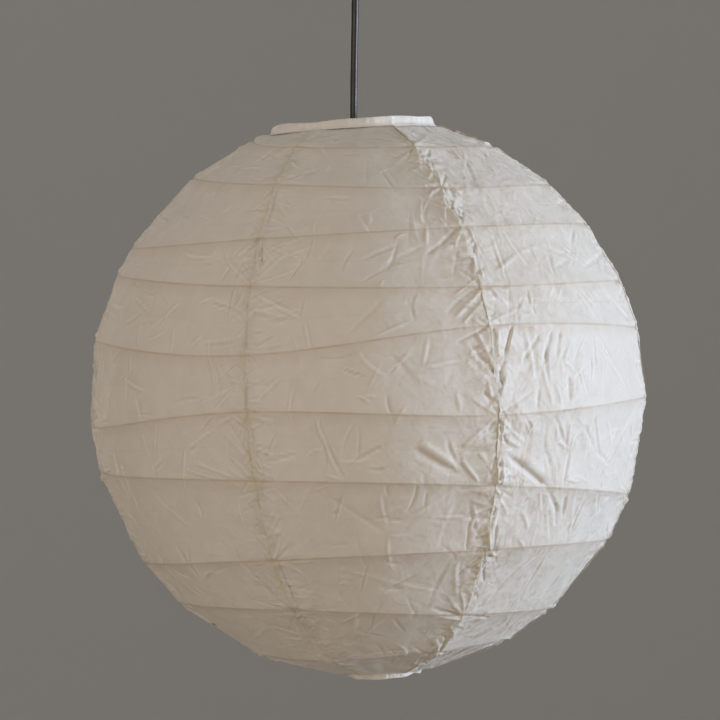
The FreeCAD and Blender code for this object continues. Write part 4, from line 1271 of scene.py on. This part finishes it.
@dataclass(frozen=True)
class PaperLip:
    """Paper folded over a hoop, gathered in small uneven pleats."""

    node: str
    hoop: str
    body: Body
    sign: float
    height: float
    seed: int
    slant: float
    fall: float
    paper: float = 0.0003
    skirt: float = 0.0042
    sides: int = 360

    def build(self, place: GlobePlace, finish: bpy.types.Material) -> None:
        """Build the lip in place of its plain ring.

        Args:
            place: Where the globe is.
            finish: Its material.
        """
        low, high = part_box(self.node)
        hoop_low, hoop_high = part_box(self.hoop)
        outer = (high.x - low.x) / 2
        wire = (hoop_high.z - hoop_low.z) / 2
        base = low.z if self.sign > 0 else high.z
        inner = (hoop_high.x - hoop_low.x) / 2 - 2 * wire - self.paper
        angle = np.linspace(0, 2 * math.pi, self.sides, endpoint=False)
        chance = np.random.default_rng(self.seed)
        wavy = self.waves(angle, chance, (2, 3, 5, 8), 0.55)
        pleats = self.waves(angle, chance, (13, 22, 37, 58), 0.12)
        rows = []
        for reach, rise, loose, crimp in self.profile(outer, inner, wire):
            radius = reach + MM * (pleats * crimp + wavy * 0.35 * loose)
            z = base + self.sign * rise
            z = z + self.sign * MM * (wavy * loose + pleats * 0.25 * loose)
            rows.append(np.stack([
                place.axis_x + radius * np.sin(angle),
                -radius * np.cos(angle),
                np.broadcast_to(z, angle.shape),
            ], axis=-1))
        points = np.concatenate(rows)
        faces = grid_faces(len(rows), self.sides, wrap=True)
        first = np.arange(self.sides)
        after = (first + 1) % self.sides
        last = (len(rows) - 1) * self.sides
        closing = np.stack([last + first, last + after, after, first], axis=-1)
        faces = np.concatenate([faces, closing])
        if self.sign < 0:
            faces = faces[:, ::-1]
        piece = new_mesh(self.node + "_fold", points, faces.tolist())
        piece.data.materials.append(finish)
        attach(piece, self.body.value)
        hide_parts(self.node)

    def profile(self, outer: float, inner: float, wire: float) -> list[tuple[float, float, float, float]]:
        """Section of the fold as radius, rise, looseness and crimp, outside up and inside down."""
        top = self.height
        thin = self.paper
        middle = (outer + inner) / 2
        outside = [
            (outer + self.skirt, -self.skirt * 0.2, 0.0, 0.3),
            (outer + self.skirt * 0.4, 0.0004, 0.1, 0.5),
            (outer + self.skirt * 0.1, 0.0014, 0.3, 0.8),
            (outer - self.slant * 0.15, top * 0.5, 0.7, 1.0),
            (outer - self.slant * 0.45, top * 0.75, 0.9, 1.0),
            (outer - self.slant, top * 0.94, 1.0, 0.8),
            (middle, top, 1.0, 0.6),
            (middle - 0.0006, top + 0.0002, 1.0, 0.6),
            (inner + 0.0004, top * 0.95, 1.0, 0.7),
            (inner, top * 0.7, 0.8, 0.7),
            (inner - 0.0001, top * 0.3, 0.4, 0.7),
            (inner, -self.fall * 0.4, 0.1, 0.9),
            (inner + 0.0003, -self.fall, 0.0, 1.0),
        ]
        inside = [
            (inner + 0.0003 + thin, -self.fall, 0.0, 1.0),
            (inner + thin, -self.fall * 0.4, 0.1, 0.9),
            (inner - 0.0001 + thin, top * 0.3, 0.4, 0.7),
            (inner + thin, top * 0.7, 0.8, 0.7),
            (inner + 0.0005 + thin, top * 0.95 - thin, 1.0, 0.7),
            (middle, top - thin, 1.0, 0.6),
            (outer - self.slant - thin, top * 0.92 - thin, 1.0, 0.8),
            (outer - self.slant * 0.45 - thin, top * 0.73, 0.9, 1.0),
            (outer - self.slant * 0.15 - thin, top * 0.49, 0.7, 1.0),
            (outer + self.skirt * 0.1 - thin, 0.0014, 0.3, 0.8),
            (outer + self.skirt * 0.4 - thin, 0.0003, 0.1, 0.5),
        ]
        return outside + inside

    @staticmethod
    def waves(angle: np.ndarray, chance: np.random.Generator, counts: Sequence[int],
              size: float) -> np.ndarray:
        """Sum of waves round a ring, in millimetres."""
        total = np.zeros_like(angle)
        for count in counts:
            total += np.sin(count * angle + chance.uniform(0, 6.3)) * chance.uniform(0.5, 1.0) * size
        return total


# ---------------------------------------------------------------- cord, camera and studio


@dataclass
class PendantCord:
    """The black round cord from the rose's terminals to the lampholder."""

    diameter: float = 0.006
    steps: int = 96
    bend_room: float = 0.010
    corner_drop: float = 0.006
    below_pivot: float = 0.003

    def line(self) -> tuple[np.ndarray, Vector, Vector]:
        """Middle line of the cord, and its pivot and exit.

        Returns:
            The line's points, the place of the tilt joint and the place where the cord starts.
        """
        low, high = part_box("cord")
        flange_low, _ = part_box("cord_bush")
        tail_low, tail_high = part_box("cord_tail")
        foot_x = (tail_low.x + tail_high.x) / 2
        pivot = Vector((foot_x, 0.0, low.z + self.diameter / 2))
        leave = Vector((0.0, 0.0, high.z))
        corner = Vector((0.0, 0.0, flange_low.z - self.corner_drop))
        route = (leave, Vector((0.0, 0.0, flange_low.z)), corner, pivot, Vector((foot_x, 0.0, tail_low.z)))
        curve = bpy.data.curves.new("cord_route", "CURVE")
        curve.dimensions = "3D"
        curve.resolution_u = self.steps // 4
        spline = curve.splines.new("NURBS")
        spline.points.add(len(route) - 1)
        for point, place in zip(spline.points, route):
            point.co = (*place, 1.0)
        spline.order_u = 3
        spline.use_endpoint_u = True
        guide = bpy.data.objects.new("cord_route", curve)
        mesh = bpy.data.meshes.new_from_object(guide)
        points = np.array([vertex.co for vertex in mesh.vertices])
        bpy.data.meshes.remove(mesh)
        bpy.data.objects.remove(guide)
        if points[0][2] < points[-1][2]:
            points = points[::-1]
        return points, pivot, leave

    def build(self, finish: bpy.types.Material) -> None:
        """Build the cord as one tube that bends above the lampholder.

        Args:
            finish: Its material.
        """
        points, pivot, leave = self.line()
        piece = tube_mesh("pendant_cord", points, self.diameter / 2, 24)
        piece.data.materials.append(finish)
        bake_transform(piece)
        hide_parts("cord", "cord_tail")


@dataclass(frozen=True)
class Eye:
    """The camera, a little above the globe's middle and rolled so that the shade leans left."""

    distance: float = 3.15
    rise: float = 0.8186
    roll: float = 3.35
    aim_right: float = -0.0065
    aim_up: float = 0.0291
    lens: float = 194.2

    def place(self, globe: GlobePlace) -> None:
        """Set the scene's camera.

        Args:
            globe: Where the globe is.
        """
        tilt = math.radians(self.rise)
        roll = math.radians(self.roll)
        across = Vector((1.0, 0.0, 0.0))
        upright = Vector((0.0, math.sin(tilt), math.cos(tilt)))
        right = across * math.cos(roll) - upright * math.sin(roll)
        up = across * math.sin(roll) + upright * math.cos(roll)
        centre = Vector((globe.axis_x, 0.0, globe.centre_z))
        eye = centre + self.distance * Vector((0.0, -math.cos(tilt), math.sin(tilt)))
        aim = centre + right * self.aim_right + up * self.aim_up
        back = (eye - aim).normalized()
        right = up.cross(back).normalized()
        up = back.cross(right)
        camera = bpy.data.objects.new("eye", bpy.data.cameras.new("eye"))
        bpy.context.scene.collection.objects.link(camera)
        camera.matrix_world = Matrix.Translation(eye) @ Matrix((right, up, back)).transposed().to_4x4()
        camera.data.lens = self.lens
        camera.data.sensor_width = 36.0
        camera.data.clip_end = 60.0
        camera.data.dof.use_dof = False
        bpy.context.scene.camera = camera


@dataclass(frozen=True)
class Lamp:
    """One soft studio light, placed round the globe."""

    name: str
    azimuth: float
    rise: float
    distance: float
    size: float
    watts: float
    colour: Colour

    def hang(self, globe: GlobePlace) -> None:
        """Put the light up, facing the globe.

        Args:
            globe: Where the globe is.
        """
        centre = Vector((globe.axis_x, 0.0, globe.centre_z))
        turn = math.radians(self.azimuth)
        rise = math.radians(self.rise)
        away = Vector((math.sin(turn) * math.cos(rise), -math.cos(turn) * math.cos(rise), math.sin(rise)))
        light = bpy.data.lights.new(self.name, "AREA")
        light.shape = "DISK"
        light.size = self.size
        light.energy = self.watts
        light.color = self.colour
        lamp = bpy.data.objects.new(self.name, light)
        bpy.context.scene.collection.objects.link(lamp)
        lamp.location = centre + away * self.distance
        lamp.rotation_euler = away.to_track_quat("Z", "Y").to_euler()


@dataclass(frozen=True)
class Studio:
    """A round cove of pale board, soft lights and an even sky."""

    floor: float = -5.2
    ceiling: float = 5.0
    radius: float = 9.0
    cove: float = 2.5
    wall: Colour = (0.50, 0.49, 0.475)
    sky: Colour = (0.80, 0.76, 0.71)
    sky_strength: float = 0.6
    lamps: tuple[Lamp, ...] = (
        Lamp("key_right", 87.0, -2.0, 3.4, 1.2, 140.0, (0.74, 0.84, 1.0)),
        Lamp("rake_right", 58.0, 4.0, 3.4, 0.6, 9.0, (0.86, 0.92, 1.0)),
        Lamp("fill_front", -24.0, 4.0, 4.5, 3.2, 74.0, (1.0, 0.85, 0.71)),
        Lamp("bounce_below", -30.0, -52.0, 3.8, 2.6, 12.0, (1.0, 0.76, 0.46)),
        Lamp("back_left", -150.0, 5.0, 3.6, 1.6, 14.0, (1.0, 0.88, 0.75)),
    )

    def build(self, globe: GlobePlace) -> None:
        """Build the cove, the sky and the lights.

        Args:
            globe: Where the globe is.
        """
        bend = np.linspace(0.0, math.pi / 2, 14)
        radii = [0.001, self.radius - self.cove]
        radii += [self.radius - self.cove + self.cove * math.sin(turn) for turn in bend[1:]]
        heights = [self.floor, self.floor]
        heights += [self.floor + self.cove * (1 - math.cos(turn)) for turn in bend[1:]]
        radii.append(self.radius)
        heights.append(self.ceiling)
        angle = np.linspace(0, 2 * math.pi, 96, endpoint=False)
        rows = [
            np.stack([radius * np.cos(angle), radius * np.sin(angle), np.full_like(angle, height)], axis=-1)
            for radius, height in zip(radii, heights)
        ]
        cove = new_mesh("cove", np.concatenate(rows), grid_faces(len(rows), 96, wrap=True).tolist())
        material = bpy.data.materials.new("cove_board")
        material.use_nodes = True
        shader = material.node_tree.nodes["Principled BSDF"]
        shader.inputs["Base Color"].default_value = (*self.wall, 1.0)
        shader.inputs["Roughness"].default_value = 0.9
        cove.data.materials.append(material)
        world = bpy.data.worlds.new("even_sky")
        world.use_nodes = True
        ground = world.node_tree.nodes["Background"]
        ground.inputs["Color"].default_value = (*self.sky, 1.0)
        ground.inputs["Strength"].default_value = self.sky_strength
        bpy.context.scene.world = world
        for lamp in self.lamps:
            lamp.hang(globe)
        bpy.context.scene.view_settings.view_transform = "Standard"


@dataclass(frozen=True)
class Hardware:
    """CAD pieces that keep their shape and only take a finish."""

    finish: Finish
    nodes: tuple[str, ...]

    def dress(self) -> None:
        """Give each node the finish."""
        material = self.finish.material()
        for name in self.nodes:
            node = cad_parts[name]
            node.data.materials.clear()
            node.data.materials.append(material)
        log.info("%s on %d pieces", self.finish.name, len(self.nodes))


HARDWARE = (
    Hardware(MetalFinish("zinc_plate", (0.60, 0.61, 0.62), (0.44, 0.44, 0.44), 0.42),
             ("ceiling_plate", "cup_tabs")),
    Hardware(PlasticFinish("rose_plastic", (0.015, 0.015, 0.016), 0.4),
             ("rose_cup", "cord_bush", "bush_nut")),
    Hardware(MetalFinish("screw_steel", (0.62, 0.61, 0.58), (0.42, 0.41, 0.38), 0.3),
             ("cup_screws", "bush_grub_screw", "contact_screws")),
    Hardware(PlasticFinish("block_plastic", (0.70, 0.68, 0.62), 0.5), ("terminal_block",)),
    Hardware(MetalFinish("terminal_brass", (0.72, 0.55, 0.26), (0.50, 0.37, 0.17), 0.34),
             ("terminal_screws", "centre_contact")),
    Hardware(PlasticFinish("holder_plastic", (0.018, 0.018, 0.02), 0.36, 0.3, 0.15),
             ("cord_grip", "lampholder_cap", "lampholder_skirt", "clamp_ring_upper", "clamp_ring_lower")),
    Hardware(CeramicFinish("contact_ceramic"), ("contact_base",)),
    Hardware(MetalFinish("shell_metal", (0.70, 0.68, 0.62), (0.52, 0.49, 0.42), 0.28), ("screw_shell",)),
    Hardware(MetalFinish("frame_wire", (0.58, 0.57, 0.55), (0.40, 0.38, 0.36), 0.36),
             ("hub_plate", "expander_leg_left", "expander_leg_right",
              "spider_arm_1", "spider_arm_2", "spider_arm_3", "spider_arm_4")),
    Hardware(MetalFinish("hoop_wire", (0.60, 0.59, 0.56), (0.42, 0.40, 0.37), 0.38),
             ("top_hoop", "bottom_hoop")),
)


def main() -> None:
    """Build the camera, the cord, the studio, the paper and the finishes, in that order."""
    logging.basicConfig(level=logging.INFO, format="%(name)s: %(message)s")
    globe = GlobePlace.read()
    log.info("globe centre %.5f %.5f", globe.axis_x, globe.centre_z)
    Eye().place(globe)
    PendantCord().build(PlasticFinish("cord_sheath", (0.012, 0.012, 0.013), 0.38, 0.25).material())
    Studio().build(globe)
    rib = RibLine(globe)
    crumpling = Crumpling(rib)
    crumpling.fill()
    paper = PaperGlobe(globe, rib, crumpling)
    washi = WashiFinish("washi_paper").material()
    paper.rib_wire(MetalFinish("rib_wire", (0.30, 0.22, 0.15), (0.22, 0.15, 0.10), 0.5).material())
    for index in range(1, GORE_COUNT + 1):
        paper.gore(index, washi)
    lip_paper = WashiFinish("lip_paper", through=0.15, lines=False).material()
    PaperLip("top_lip", "top_hoop", Body.GLOBE, 1.0, 0.0068, 3, 0.0014, 0.009).build(globe, lip_paper)
    PaperLip("bottom_lip", "bottom_hoop", Body.BOTTOM, -1.0, 0.0042, 8, 0.0012, 0.001).build(globe, lip_paper)
    for hardware in HARDWARE:
        hardware.dress()


if __name__ == "__main__":
    main()
